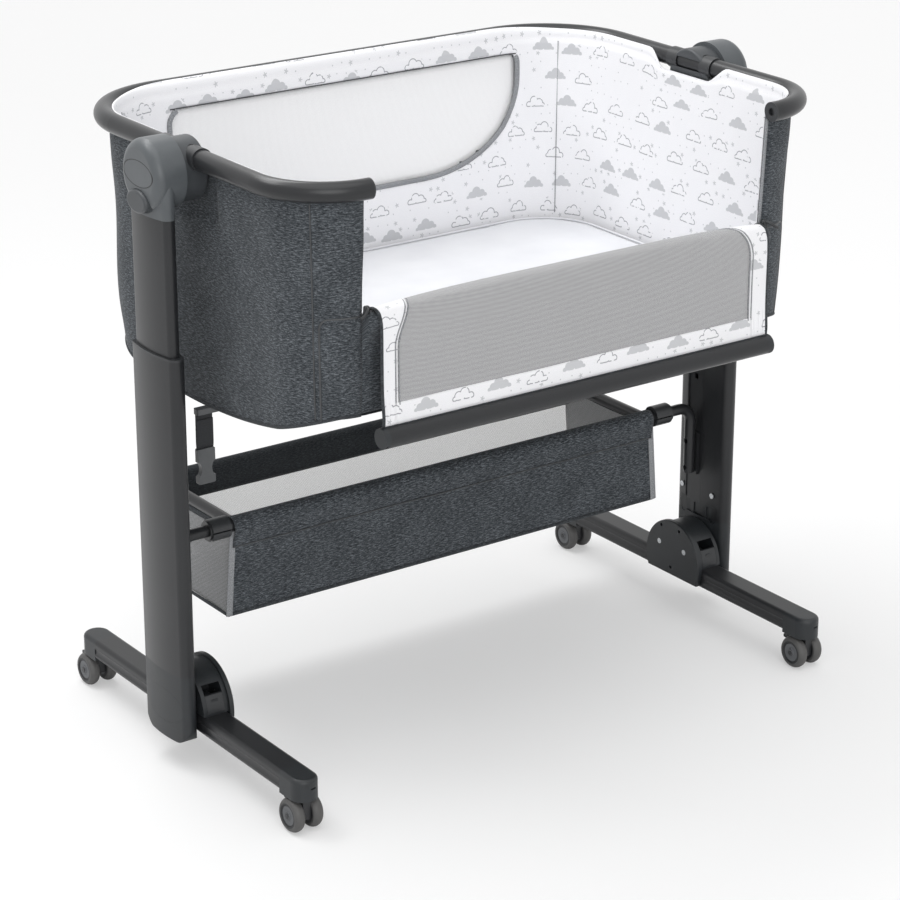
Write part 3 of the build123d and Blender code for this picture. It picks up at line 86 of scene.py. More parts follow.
# %% Measures of the frame, in millimetres
MM = 0.001
SIDES = ((-1, "left"), (1, "right"))
RIM_X, RIM_BACK, RIM_FRONT, RIM_Z, RIM_R = 410.0, 296.0, -269.0, 820.0, 13.0
CORNER_BACK, CORNER_FRONT = 130.0, 95.0
WALL_TOP, WALL_THICK, LEAN, HANG = 808.1, 13.0, 0.0518, 6.0
LINING_THICK = 2.0
OPEN_HALF = 318.0
RAIL_Y, RAIL_Z, RAIL_R = -283.0, 508.0, 13.0
FLAP_HALF = 306.0
HOOP_Y, BAG_FLOOR = 203.0, 178.5
print("rim", 2 * RIM_X, "by", RIM_BACK - RIM_FRONT, "mm, opening", 2 * OPEN_HALF, "mm")

# %% [markdown]
# ## Colours
# Colours are picked as they look on a screen and turned into the linear values
# that a renderer adds and multiplies.

# %% Colour helper
def paint(code):
    """Linear colour of a six-digit screen colour."""
    parts = [int(code[i : i + 2], 16) / 255 for i in (0, 2, 4)]
    linear = [p / 12.92 if p <= 0.04045 else ((p + 0.055) / 1.055) ** 2.4 for p in parts]
    return (*linear, 1.0)


print("white cloth", [round(c, 3) for c in paint("F4F4F6")[:3]])

# %% [markdown]
# ## Node helpers
# Every finish is a small net of shader nodes. A few helpers keep the recipes short:
# they start a finish, add a node with its settings, do sums, and grow a noise of
# a given size. Sizes are lengths on the object, so a finish looks alike on a big
# piece and on a small one.

# %% Start a finish and add nodes to it
def start_finish(name, roughness, metallic=0.0, sheen=0.0, gloss=0.5):
    """A new finish: its node tree and its main shader."""
    finish = bpy.data.materials.new(name)
    finish.use_nodes = True
    shader = finish.node_tree.nodes["Principled BSDF"]
    shader.inputs["Roughness"].default_value = roughness
    shader.inputs["Metallic"].default_value = metallic
    shader.inputs["Specular IOR Level"].default_value = gloss
    shader.inputs["Sheen Weight"].default_value = sheen
    return finish, finish.node_tree, shader


def add(tree, kind, inputs=(), **settings):
    """A node of one kind. inputs are (socket, value or other node's socket)."""
    node = tree.nodes.new("ShaderNode" + kind)
    for key, value in settings.items():
        setattr(node, key, value)
    for socket, value in inputs:
        if isinstance(value, bpy.types.NodeSocket):
            tree.links.new(value, node.inputs[socket])
        else:
            node.inputs[socket].default_value = value
    return node


print("a finish can be started and given nodes")

# %% Sums on numbers and sockets
def step(tree, operation, a, b=0.0, c=0.0):
    """Output of one math step on numbers or sockets."""
    return add(tree, "Math", [(0, a), (1, b), (2, c)], operation=operation).outputs[0]


def times(tree, a, b):
    """a times b."""
    return step(tree, "MULTIPLY", a, b)


def minus(tree, a, b):
    """a less b."""
    return step(tree, "SUBTRACT", a, b)


def scaled(tree, a, b, c):
    """a times b, plus c."""
    return step(tree, "MULTIPLY_ADD", a, b, c)


def feed(shader, socket, source):
    """Wires a source to one socket of the main shader."""
    shader.id_data.links.new(source, shader.inputs[socket])


print("sums ready")

# %% Places, lengths and noise
def split(tree, where):
    """The x, y and z of a place or vector."""
    return add(tree, "SeparateXYZ", [(0, where)]).outputs


def length(tree, a, b):
    """Length of the flat vector with sides a and b."""
    return step(tree, "SQRT", scaled(tree, a, a, times(tree, b, b)))


def place(tree):
    """Where a point of the piece is, in metres in the piece's own space."""
    return add(tree, "TexCoord").outputs["Object"]


def cloth_place(tree):
    """Where a point of the cloth is, in metres along and across the cut sheet."""
    carried = add(tree, "Attribute", attribute_name="cloth", attribute_type="GEOMETRY")
    return carried.outputs["Vector"]


def noise(tree, where, size, detail=2.0, stretch=(1, 1, 1), turn=0.0):
    """Noise with blotches about size metres wide, longer where stretch is above 1."""
    scale = tuple(1 / k for k in stretch)
    mapped = add(tree, "Mapping", [("Vector", where), ("Scale", scale), ("Rotation", (0, 0, turn))])
    sizes = [("Vector", mapped.outputs[0]), ("Scale", 1 / size), ("Detail", detail)]
    return add(tree, "TexNoise", sizes).outputs["Fac"]


print("places and noise ready")

# %% Colours and relief
def ramp(tree, value, *stops):
    """Colour that follows a value through (position, screen colour) stops."""
    node = add(tree, "ValToRGB", [("Fac", value)])
    while len(node.color_ramp.elements) < len(stops):
        node.color_ramp.elements.new(0.5)
    for element, (position, colour) in zip(node.color_ramp.elements, stops):
        element.position = position
        element.color = paint(colour)
    return node.outputs["Color"]


def blend_colour(tree, share, under, colour):
    """What lies under where share is 0, and a screen colour where it is 1."""
    node = add(tree, "Mix", [(0, share), (6, under), (7, paint(colour))], data_type="RGBA")
    return node.outputs[2]


def relief(tree, shader, height, depth, strength=1.0, normal=None):
    """Bump of a given depth in metres, wired to the shader."""
    links = [("Height", height), ("Distance", depth), ("Strength", strength)]
    if normal is not None:
        links.append(("Normal", normal))
    bump = add(tree, "Bump", links)
    feed(shader, "Normal", bump.outputs[0])
    return bump.outputs[0]


print("node helpers ready")

# %% [markdown]
# ## Painted steel
# The tubes are powder coated: the powder melts into a satin skin with a very fine
# orange peel. A fine noise gives the grain and a wide one the slight unevenness of
# the coat, and both also change the roughness, so highlights break up softly.

# %% Painted steel
def painted_steel(name, dark, light, roughness):
    """Satin powder coat on steel tube."""
    finish, tree, shader = start_finish(name, roughness, metallic=0.0, gloss=0.4)
    where = place(tree)
    fine = noise(tree, where, 0.0012, 3.0)
    wide = noise(tree, where, 0.09, 2.0)
    both = scaled(tree, fine, 0.35, times(tree, wide, 0.65))
    feed(shader, "Base Color", ramp(tree, both, (0.3, dark), (0.7, light)))
    rough = scaled(tree, fine, 0.12, roughness - 0.06)
    feed(shader, "Roughness", rough)
    relief(tree, shader, fine, 0.00006, 0.6)
    return finish


tube_paint = painted_steel("tube_paint", "222325", "28292B", 0.3)
foot_paint = painted_steel("foot_paint", "1E1F21", "242527", 0.38)
print("painted steel for tubes and feet")

# %% [markdown]
# ## Moulded plastic
# Hinges, shoulders and clamps are moulded with a spark-eroded grain, a fine even
# pebble. A cell pattern makes the pebbles, and a slow noise the faint flow marks.

# %% Moulded plastic
def moulded_plastic(name, dark, light, roughness, grain=0.0007, depth=0.00005):
    """Grained plastic."""
    finish, tree, shader = start_finish(name, roughness, gloss=0.45)
    where = place(tree)
    cells = add(tree, "TexVoronoi", [("Vector", where), ("Scale", 1 / grain)]).outputs["Distance"]
    flow = noise(tree, where, 0.03, 3.0)
    tint = scaled(tree, cells, 0.25, times(tree, flow, 0.75))
    feed(shader, "Base Color", ramp(tree, tint, (0.3, dark), (0.7, light)))
    feed(shader, "Roughness", scaled(tree, flow, 0.16, roughness - 0.08))
    relief(tree, shader, cells, depth, 0.5)
    return finish


shell_plastic = moulded_plastic("shell_plastic", "4E5255", "575B5E", 0.36)
hub_plastic = moulded_plastic("hub_plastic", "393C3F", "424548", 0.4)
charcoal_plastic = moulded_plastic("charcoal_plastic", "1E2123", "26292C", 0.44)
fitting_plastic = moulded_plastic("fitting_plastic", "28292B", "323436", 0.38)
fork_plastic = moulded_plastic("fork_plastic", "242527", "2C2D2F", 0.36)
buckle_plastic = moulded_plastic("buckle_plastic", "47494B", "525456", 0.35)
print("six moulded plastics")

# %% [markdown]
# The shoulder's plate sits in a shallow groove. The plate itself is a CAD node, so
# the groove's shade is painted: a thin dark ring drawn in the shell's own finish, at the plate's
# rim.

# %% Painted groove shade round the shoulder's plate
def painted_groove_shade(finish, centre_z, half_y, half_z, width, dark):
    """Draws a dark oval line of painted groove shade in a finish, round a plate in the YZ plane."""
    tree = finish.node_tree
    shader = tree.nodes["Principled BSDF"]
    here = split(tree, place(tree))
    y = step(tree, "DIVIDE", here[1], half_y)
    z = step(tree, "DIVIDE", minus(tree, here[2], centre_z), half_z)
    off = step(tree, "ABSOLUTE", minus(tree, length(tree, y, z), 1.0))
    # line marks the painted shade of the groove, a dark oval at the plate's rim.
    line = step(tree, "LESS_THAN", off, width)
    old = shader.inputs["Base Color"].links[0].from_socket
    feed(shader, "Base Color", blend_colour(tree, line, old, dark))


painted_groove_shade(shell_plastic, 0.803, 0.035, 0.0165, 0.035, "1C1D1F")
print("groove drawn in", shell_plastic.name)

# %% [markdown]
# ## Wheels
# A twin wheel has a soft grey tread, a dark recess, a grey disc and a steel pin.
# All four are rings round one axle, so one finish asks how far a point is from the
# axle and picks the ring. Each caster stands elsewhere, so each gets its own centre.

# %% Wheel rings
WHEEL_RINGS = (
    (0.0, "C9CBCD"),
    (0.15, "C9CBCD"),
    (0.17, "2A2B2D"),
    (0.21, "55575A"),
    (0.5, "5E6063"),
    (0.55, "1F2022"),
    (0.66, "242527"),
    (0.7, "4A4A4A"),
    (1.0, "545352"),
)


def wheel_finish(name, axle_y, axle_z):
    """Tread, recess, disc and pin as rings round the axle."""
    finish, tree, shader = start_finish(name, 0.5, gloss=0.4)
    where = place(tree)
    here = split(tree, where)
    far = length(tree, minus(tree, here[1], axle_y), minus(tree, here[2], axle_z))
    scuff = noise(tree, where, 0.004, 3.0)
    worn = scaled(tree, scuff, 0.0008, far)
    share = step(tree, "DIVIDE", worn, 0.025)
    feed(shader, "Base Color", ramp(tree, share, *WHEEL_RINGS))
    relief(tree, shader, scuff, 0.0001, 0.4)
    return finish


def dress(node, finish):
    """Gives a CAD node its finish."""
    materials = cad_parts[node].data.materials
    materials.clear()
    materials.append(finish)


for corner in ("front_left", "front_right", "rear_left", "rear_right"):
    lo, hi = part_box("caster_wheels_" + corner)
    mid_y, mid_z = (lo.y + hi.y) / 2, (lo.z + hi.z) / 2
    dress("caster_wheels_" + corner, wheel_finish("wheel_" + corner, mid_y, mid_z))
    print("wheel", corner, "axle at", round(mid_y, 4), round(mid_z, 4))

# %% [markdown]
# ## Steel
# Screws and bolts are zinc plated: bright, a little blue, with fine turning marks.

# %% Plated steel
def plated_steel(name):
    """Zinc-plated screw steel."""
    finish, tree, shader = start_finish(name, 0.28, metallic=1.0)
    where = place(tree)
    marks = noise(tree, where, 0.0008, 3.0)
    feed(shader, "Base Color", ramp(tree, marks, (0.3, "A8ABAE"), (0.7, "C9CBCD")))
    feed(shader, "Roughness", scaled(tree, marks, 0.2, 0.18))
    return finish


screw_steel = plated_steel("screw_steel")
print("steel for", [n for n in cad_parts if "screw" in n or "bolt" in n])

# %% [markdown]
# ## Which finish goes on which hard part
# Each finish has its list of name beginnings.

# %% Dress the hard parts
HARD_PARTS = {
    foot_paint: "foot_tube",
    tube_paint: "lower_tube upper_tube rim_tube drop_rail basket_frame basket_brackets",
    shell_plastic: "shoulder_shell shoulder_badge",
    hub_plastic: "shoulder_hub height_button",
    screw_steel: "hinge_screws hinge_bolts",
    charcoal_plastic: "hinge_plate hinge_housing post_boot boot_covers foot_caps rail_caps",
    fitting_plastic: "fold_button rim_plugs rim_bushes stop_plug guide_sleeves basket_clamps",
    fork_plastic: "caster_fork caster_brake",
    buckle_plastic: "strap_fittings base_board",
}
dressed = 0
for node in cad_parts:
    for finish, beginnings in HARD_PARTS.items():
        if node.startswith(tuple(beginnings.split())):
            dress(node, finish)
            dressed += 1
print(dressed, "hard parts dressed")

# %% [markdown]
# ## Cloth finishes
# The dark cloth is a melange: threads spun from light and dark fibres, so it shows
# short slanted streaks. Two stretched noises give the streaks, a finer one the
# weave. The sheets carry their own measure, so the streaks follow the cloth round
# every corner.

# %% Dark melange cloth
def melange_cloth(name, dark, middle, light, streak=0.0075, turn=0.5):
    """Woven cloth of light and dark fibres, with slanted streaks."""
    finish, tree, shader = start_finish(name, 0.92, sheen=0.08, gloss=0.2)
    where = cloth_place(tree)
    drawn_out = (streak / 0.0016, 1, 1)
    long_streaks = noise(tree, where, streak * 0.22, 3.0, drawn_out, turn)
    short_streaks = noise(tree, where, streak * 0.14, 2.0, (3.0, 1, 1), -turn * 1.6)
    tone = noise(tree, where, 0.05, 2.0)
    speck = noise(tree, where, 0.0011, 2.0)
    mixed = scaled(tree, long_streaks, 0.42, times(tree, short_streaks, 0.3))
    mixed = scaled(tree, speck, 0.2, mixed)
    mixed = scaled(tree, tone, 0.08, mixed)
    colour = ramp(tree, mixed, (0.39, dark), (0.5, middle), (0.62, light))
    feed(shader, "Base Color", colour)
    relief(tree, shader, mixed, 0.0006, 0.7)
    return finish


body_melange = melange_cloth("body_melange", "202327", "404448", "73787D")
trim_melange = melange_cloth("trim_melange", "2B2D30", "3A3D40", "505458", 0.006)
grey_tape = melange_cloth("grey_tape", "6E7073", "8C8E91", "AEB0B2", 0.004)
print("melange in three tones")

# %% [markdown]
# ## Printed cloth
# The lining is white cotton with a pale grey nursery print. A print like this is
# one small drawing repeated by a roller, but a strict repeat looks mechanical here.
# So the sheet is cut into cells, each cell draws lots for its own motif and place,
# and the motif is drawn from circles: how far a point is from a few centres.

# %% Cell lottery
def cell_lottery(tree, where, wide, tall, seed):
    """Splits the sheet into brick-laid cells: place about a cell's middle, and its lot."""
    here = split(tree, where)
    row_at = scaled(tree, here[1], 1 / tall, 40.0)
    row = step(tree, "FLOOR", row_at)
    shift = times(tree, row, 0.37)
    column_at = step(tree, "ADD", scaled(tree, here[0], 1 / wide, 60.0), shift)
    column = step(tree, "FLOOR", column_at)
    name_of_cell = add(tree, "CombineXYZ", [(0, column), (1, row), (2, seed)])
    lots = add(tree, "TexWhiteNoise", [("Vector", name_of_cell.outputs[0])], noise_dimensions="3D")
    lot = add(tree, "SeparateColor", [(0, lots.outputs["Color"])])
    inside_x = minus(tree, step(tree, "FRACT", column_at), 0.5)
    inside_y = minus(tree, step(tree, "FRACT", row_at), 0.5)
    drift_x = scaled(tree, lot.outputs[0], 0.24, -0.12)
    drift_y = scaled(tree, lot.outputs[1], 0.24, -0.12)
    x = times(tree, minus(tree, inside_x, drift_x), wide)
    y = times(tree, minus(tree, inside_y, drift_y), tall)
    mirrored = step(tree, "GREATER_THAN", lot.outputs[0], 0.5)
    x = times(tree, x, minus(tree, times(tree, mirrored, 2.0), 1.0))
    return add(tree, "CombineXYZ", [(0, x), (1, y)]).outputs[0], lot.outputs[2]


print("cells draw their lots")

# %% Motifs drawn from circles
def round_spot(tree, where, x, y, radius):
    """Distance from the edge of a circle, below 0 inside."""
    far = add(tree, "VectorMath", [(0, where), (1, (x, y, 0))], operation="DISTANCE")
    return minus(tree, far.outputs["Value"], radius)


def cloud_edge(tree, where, puffs, base):
    """Distance from the edge of a cloud of puffs that is cut flat at its base."""
    edge = None
    for x, y, radius in puffs:
        spot = round_spot(tree, where, x * MM, y * MM, radius * MM)
        edge = spot if edge is None else step(tree, "SMOOTH_MIN", edge, spot, 0.0006)
    floor = minus(tree, base * MM, split(tree, where)[1])
    return step(tree, "SMOOTH_MAX", edge, floor, 0.002)


def inked(tree, edge, width):
    """1 inside an edge, fading over width."""
    fade = [(0, edge), (1, width / 2), (2, -width / 2), (3, 0.0), (4, 1.0)]
    return add(tree, "MapRange", fade).outputs[0]


print("motif helpers ready")

# %% Printed cotton
FLAT_CLOUD = (
    (-15.0, -3.0, 3.2),
    (-9.0, 0.4, 5.4),
    (-4.6, -2.6, 4.6),
    (0.6, 3.4, 7.4),
    (5.4, -2.6, 4.8),
    (9.6, -0.6, 5.2),
    (15.4, -3.4, 2.8),
)
DRAWN_CLOUD = (
    (-12.0, -2.4, 4.2),
    (-6.4, -2.0, 4.8),
    (-2.8, 2.8, 6.6),
    (1.8, -2.0, 4.8),
    (6.4, -0.2, 6.0),
    (12.4, -3.2, 3.2),
)
CLOUD_BASE = -5.2


def printed_cotton(name, ground, solid, line):
    """White cotton with grey clouds, drawn clouds, stars and dots."""
    finish, tree, shader = start_finish(name, 0.88, sheen=0.1, gloss=0.25)
    where = cloth_place(tree)
    soft = 0.0006
    spot, kind = cell_lottery(tree, where, 0.056, 0.039, 3.0)
    flat_cloud = cloud_edge(tree, spot, FLAT_CLOUD, CLOUD_BASE)
    drawn_cloud = cloud_edge(tree, spot, DRAWN_CLOUD, CLOUD_BASE)
    filled = times(tree, inked(tree, flat_cloud, soft), step(tree, "LESS_THAN", kind, 0.46))
    ring = minus(tree, step(tree, "ABSOLUTE", drawn_cloud), 0.0006)
    wobble = noise(tree, where, 0.006, 1.0)
    open_line = step(tree, "GREATER_THAN", wobble, 0.4)
    outline = times(tree, inked(tree, ring, soft), step(tree, "GREATER_THAN", kind, 0.54))
    outline = times(tree, outline, open_line)
    small, small_kind = cell_lottery(tree, where, 0.0155, 0.0125, 7.0)
    here = split(tree, small)
    angle = step(tree, "ARCTAN2", here[1], here[0])
    far = add(tree, "VectorMath", [(0, small)], operation="LENGTH").outputs["Value"]
    points = step(tree, "COSINE", times(tree, angle, 5.0))
    star_edge = minus(tree, far, scaled(tree, points, 0.0012, 0.0024))
    star = times(tree, inked(tree, star_edge, soft), step(tree, "LESS_THAN", small_kind, 0.17))
    dot = inked(tree, minus(tree, far, 0.0010), soft)
    dot = times(tree, dot, step(tree, "GREATER_THAN", small_kind, 0.62))
    clear = step(tree, "MINIMUM", flat_cloud, drawn_cloud)
    clear = step(tree, "GREATER_THAN", clear, 0.0025)
    sprinkle = times(tree, step(tree, "MAXIMUM", star, dot), clear)
    cotton = ramp(tree, noise(tree, where, 0.0009, 2.0), (0.3, ground), (0.7, "F3F3F5"))
    coloured = blend_colour(tree, filled, cotton, solid)
    coloured = blend_colour(tree, sprinkle, coloured, solid)
    coloured = blend_colour(tree, outline, coloured, line)
    feed(shader, "Base Color", coloured)
    wrinkle = noise(tree, where, 0.018, 3.0, stretch=(1.0, 2.2, 1.0))
    relief(tree, shader, wrinkle, 0.0018, 0.35)
    return finish


nursery_print = printed_cotton("nursery_print", "E6E6E9", "C4C5C8", "929398")
print("printed cotton:", len(nursery_print.node_tree.nodes), "nodes")

# %% [markdown]
# ## Net, plain cotton and webbing
# Net is see-through: small holes between knitted threads. Its finish is nearly opaque
# on the threads and thinner in the holes, where its colour is painted darker as shade
# between the threads, and the holes come from two crossed waves.

# %% Net, cotton and webbing
def net_cloth(name, thread, painted_hole_shade, pitch, cover, lean=0.6):
    """Knitted net with slanted rows of small holes, painted darker in the holes as shade between
    the threads.
    """
    finish, tree, shader = start_finish(name, 0.8, sheen=0.1, gloss=0.3)
    across, up, _ = split(tree, cloth_place(tree))
    turn = 2 * pi / pitch
    one = step(tree, "SINE", times(tree, scaled(tree, up, lean, across), turn))
    two = step(tree, "SINE", times(tree, scaled(tree, across, -lean, up), turn))
    knit = scaled(tree, times(tree, one, two), 0.5, 0.5)
    # The holes take the darker colour: painted shade between the threads.
    feed(shader, "Base Color", ramp(tree, knit, (0.3, painted_hole_shade), (0.7, thread)))
    holes = [(0, knit), (1, 0.2), (2, 0.8), (3, cover - 0.3), (4, cover + 0.3)]
    feed(shader, "Alpha", add(tree, "MapRange", holes).outputs[0])
    relief(tree, shader, knit, 0.0003, 0.5)
    return finish


def plain_cotton(name, ground, light):
    """White jersey with a fine knit and slow soft wrinkles."""
    finish, tree, shader = start_finish(name, 0.9, sheen=0.15, gloss=0.2)
    where = place(tree)
    knit = noise(tree, where, 0.0008, 2.0)
    slow = noise(tree, where, 0.06, 3.0)
    tone = scaled(tree, slow, 0.7, times(tree, knit, 0.3))
    feed(shader, "Base Color", ramp(tree, tone, (0.3, ground), (0.7, light)))
    fine = relief(tree, shader, knit, 0.0002, 0.4)
    relief(tree, shader, slow, 0.003, 0.3, normal=fine)
    return finish


flap_net = net_cloth("flap_net", "CBCBCC", "98989A", 0.0026, 0.72)
pale_net = net_cloth("pale_net", "FCFCFC", "F2F2F3", 0.0022, 0.8)
liner_net = net_cloth("liner_net", "FBFBFB", "EDEDED", 0.0026, 0.42, 0.1)
basket_net = net_cloth("basket_net", "A2A3A4", "6F7072", 0.003, 0.8)
sheet_cotton = plain_cotton("sheet_cotton", "D6D7DB", "DFE0E3")
liner_cotton = plain_cotton("liner_cotton", "F2F2F1", "FBFBFA")
black_webbing = melange_cloth("black_webbing", "28292B", "323335", "434547", 0.003, 0.0)
# Dark finish for stitch lines; along the basin's seams and under the basket's sleeve it is painted
# shade.
stitch_and_painted_shade = moulded_plastic("stitch_and_painted_shade", "3A3B3D", "47494B", 0.35)
print("nets, cottons and webbing ready")

# %% [markdown]
# ## The line the basin hangs on
# The basin follows the rim's plan. One function walks along that plan from the
# middle of the back and tells, for each step, where the rim is and which way is in.
# Everything sewn to the basin, such as seams and piping, then uses the same walk.

# %% Walk along the rim
HALF_BACK = RIM_X - CORNER_BACK
ARC_BACK = CORNER_BACK * pi / 2
SIDE_LONG = RIM_BACK - CORNER_BACK - RIM_FRONT - CORNER_FRONT
ARC_FRONT = CORNER_FRONT * pi / 2
EDGE_TURN = pi / 2 - asin((OPEN_HALF - RIM_X + CORNER_FRONT) / CORNER_FRONT)
EDGE_WALK = HALF_BACK + ARC_BACK + SIDE_LONG + CORNER_FRONT * EDGE_TURN
SEAM_WALK = HALF_BACK + ARC_BACK + SIDE_LONG + ARC_FRONT / 2
CORNER_SEAM = HALF_BACK + ARC_BACK * 0.5


def rim_walk(s):
    """x, y and the inward way at a walk of s from the back's middle, right when positive."""
    side = np.where(s < 0, -1.0, 1.0)
    a = np.abs(s)
    back = np.clip((a - HALF_BACK) / CORNER_BACK, 0, pi / 2)
    t = a - HALF_BACK - ARC_BACK
    front = np.clip((t - SIDE_LONG) / CORNER_FRONT, 0, pi / 2)
    rest = np.clip(t - SIDE_LONG - ARC_FRONT, 0, None)
    straight = np.clip(a, 0, HALF_BACK)
    x = straight + CORNER_BACK * np.sin(back) - CORNER_FRONT * (1 - np.cos(front)) - rest
    run = np.clip(t, 0, SIDE_LONG)
    y = RIM_BACK - CORNER_BACK * (1 - np.cos(back)) - run - CORNER_FRONT * np.sin(front)
    early = t < 0
    nx = np.where(early, -np.sin(back), -np.cos(front))
    ny = np.where(early, -np.cos(back), np.sin(front))
    return x * side, y, nx * side, ny


print("half a walk over the back and one end:", round(SEAM_WALK, 1), "mm")

# %% Points on the hanging cloth
def hang_in(z):
    """How far inside the rim's line the outer cloth hangs at height z."""
    return HANG + LEAN * (WALL_TOP - z)


def wall_points(s, z, inset):
    """Points inset from the rim's line, at walk s and height z."""
    x, y, nx, ny = rim_walk(s)
    return np.stack([x + nx * inset, y + ny * inset, z * np.ones_like(x)], -1)


def inward(s):
    """Level vectors that point into the basin at walk s."""
    nx, ny = rim_walk(s)[2:]
    return np.stack([nx, ny, 0 * nx], -1)


def spread(*parts):
    """Grid of points from parts of shapes that fit each other."""
    return np.stack(np.broadcast_arrays(*parts), -1)


print("cloth leans in by", round(hang_in(500.0), 1), "mm at its lower edge")

# %% Lower edge and soft steps
def three_point_arc(y, a, b, c):
    """Height at y on the arc through three points."""
    (x1, y1), (x2, y2), (x3, y3) = a, b, c
    k = 2 * (x1 * (y2 - y3) + x2 * (y3 - y1) + x3 * (y1 - y2))
    q1, q2, q3 = x1**2 + y1**2, x2**2 + y2**2, x3**2 + y3**2
    mid_y = (q1 * (y2 - y3) + q2 * (y3 - y1) + q3 * (y1 - y2)) / k
    mid_z = (q1 * (x3 - x2) + q2 * (x1 - x3) + q3 * (x2 - x1)) / k
    radius = sqrt((x1 - mid_y) ** 2 + (y1 - mid_z) ** 2)
    return mid_z - np.sqrt(radius**2 - (y - mid_y) ** 2)


def skirt(y):
    """Height of the basin's lower edge at depth y."""
    return three_point_arc(np.clip(y, -262, 290), (-262.0, 530.0), (60.0, 486.0), (290.0, 524.0))


def ease(value, start, end):
    """0 before start, 1 after end, smooth between."""
    t = np.clip((value - start) / (end - start), 0, 1)
    return t * t * (3 - 2 * t)


def hump(value, middle, wide):
    """1 at the middle, fading to 0 within about wide on each side."""
    return np.exp(-(((value - middle) / wide) ** 2))


print("walk to the opening's edge", round(EDGE_WALK, 1), "mm")
print("skirt at its lowest", round(float(skirt(60.0)), 1), "mm")

# %% [markdown]
# ## Mesh makers for sewn goods
# A cloth panel is two skins a little apart, closed along every edge and round any
# hole. Piping and seams are thin tubes that follow a line of points. Both makers
# take millimetres and write metres, and both store the cloth's own measure.

# %% A mesh piece with its own measure
def measure(mesh, flat):
    """Stores each point's place on the flat cloth, in metres."""
    carried = np.zeros((len(flat), 3), np.float32)
    carried[:, :2] = flat
    cloth = mesh.attributes.new("cloth", "FLOAT_VECTOR", "POINT")
    cloth.data.foreach_set("vector", carried.ravel())


def new_piece(name, points, faces, body, finish, cloth=None):
    """Mesh piece from points in millimetres; rides on a body."""
    mesh = bpy.data.meshes.new(name)
    mesh.from_pydata((np.asarray(points) * MM).tolist(), [], faces)
    mesh.validate()
    if cloth is not None:
        measure(mesh, np.asarray(cloth) * MM)
    mesh.polygons.foreach_set("use_smooth", [True] * len(mesh.polygons))
    mesh.materials.append(finish)
    piece = bpy.data.objects.new(name, mesh)
    bpy.context.scene.collection.objects.link(piece)
    if body:
        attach(piece, body)
    return piece


print("pieces carry their cloth's own measure")

# %% Two skins, closed all round
def two_skins(name, outer, inner, cloth, body, finish, hole=None):
    """Closed panel between two grids of points (columns, rows, 3)."""
    columns, rows = outer.shape[:2]
    points = np.concatenate([outer.reshape(-1, 3), inner.reshape(-1, 3)])
    both = np.concatenate([cloth.reshape(-1, 2), cloth.reshape(-1, 2)])
    half = columns * rows
    cut = np.zeros((columns - 1, rows - 1), bool) if hole is None else hole
    faces = []

    def at(i, j, skin):
        return skin * half + i * rows + j

    for i in range(columns - 1):
        for j in range(rows - 1):
            if cut[i, j]:
                continue
            faces.append((at(i, j, 0), at(i + 1, j, 0), at(i + 1, j + 1, 0), at(i, j + 1, 0)))
            faces.append((at(i, j, 1), at(i, j + 1, 1), at(i + 1, j + 1, 1), at(i + 1, j, 1)))
            sides = (
                (i == 0 or cut[i - 1, j], (i, j), (i, j + 1)),
                (i == columns - 2 or cut[min(i + 1, columns - 2), j], (i + 1, j + 1), (i + 1, j)),
                (j == 0 or cut[i, j - 1], (i + 1, j), (i, j)),
                (j == rows - 2 or cut[i, min(j + 1, rows - 2)], (i, j + 1), (i + 1, j + 1)),
            )
            for bare, a, b in sides:
                if bare:
                    faces.append((at(*a, 0), at(*b, 0), at(*b, 1), at(*a, 1)))
    return new_piece(name, points, faces, body, finish, both)


def unit(v):
    """Vectors of length 1."""
    return v / np.maximum(np.linalg.norm(v, axis=-1, keepdims=True), 1e-9)


def grid_normals(grid):
    """Unit normals of a grid of points."""
    return unit(np.cross(np.gradient(grid, axis=0), np.gradient(grid, axis=1)))


def panel(name, grid, thick, cloth, body, finish, hole=None):
    """Cloth panel of even thickness about a grid of points."""
    lift = grid_normals(grid) * thick / 2
    return two_skins(name, grid + lift, grid - lift, cloth, body, finish, hole)


print("panel makers ready")

# %% Tubes and ribbons along a line
def walked(line):
    """Length along a line at each of its points."""
    return np.concatenate([[0], np.cumsum(np.linalg.norm(np.diff(line, axis=0), axis=1))])


def ring_faces(count, k, closed=False):
    """Faces between count rings of k points each, with end caps unless the rings close."""
    faces = []
    for i in range(count if closed else count - 1):
        n = (i + 1) % count
        for j in range(k):
            m = (j + 1) % k
            faces.append((i * k + j, i * k + m, n * k + m, n * k + j))
    if not closed:
        faces.append(tuple(range(k))[::-1])
        faces.append(tuple((count - 1) * k + j for j in range(k)))
    return faces


def swept(name, path, section, out, body, finish, closed=False):
    """Sweeps a section of (sideways, outward) points along a path; out is outward."""
    path = np.asarray(path, float)
    if closed:
        along = unit(np.roll(path, -1, 0) - np.roll(path, 1, 0))
    else:
        along = unit(np.gradient(path, axis=0))
    out = np.broadcast_to(np.asarray(out, float), path.shape)
    side = unit(np.cross(along, out))
    up = unit(np.cross(side, along))
    sides = np.asarray(section, float)
    points = path[:, None] + side[:, None] * sides[None, :, :1]
    points = points + up[:, None] * sides[None, :, 1:]
    cloth = spread(walked(path)[:, None], sides[None, :, 0] + sides[None, :, 1])
    faces = ring_faces(len(path), len(sides), closed)
    points, cloth = points.reshape(-1, 3), cloth.reshape(-1, 2)
    return new_piece(name, points, faces, body, finish, cloth)


def ring_section(radius, sides=10, flat=1.0):
    """Round or flattened section for a cord or tape."""
    turns = np.arange(sides) * 2 * pi / sides
    return np.stack([radius * np.cos(turns), radius * flat * np.sin(turns)], -1)


print("sweeps ready")

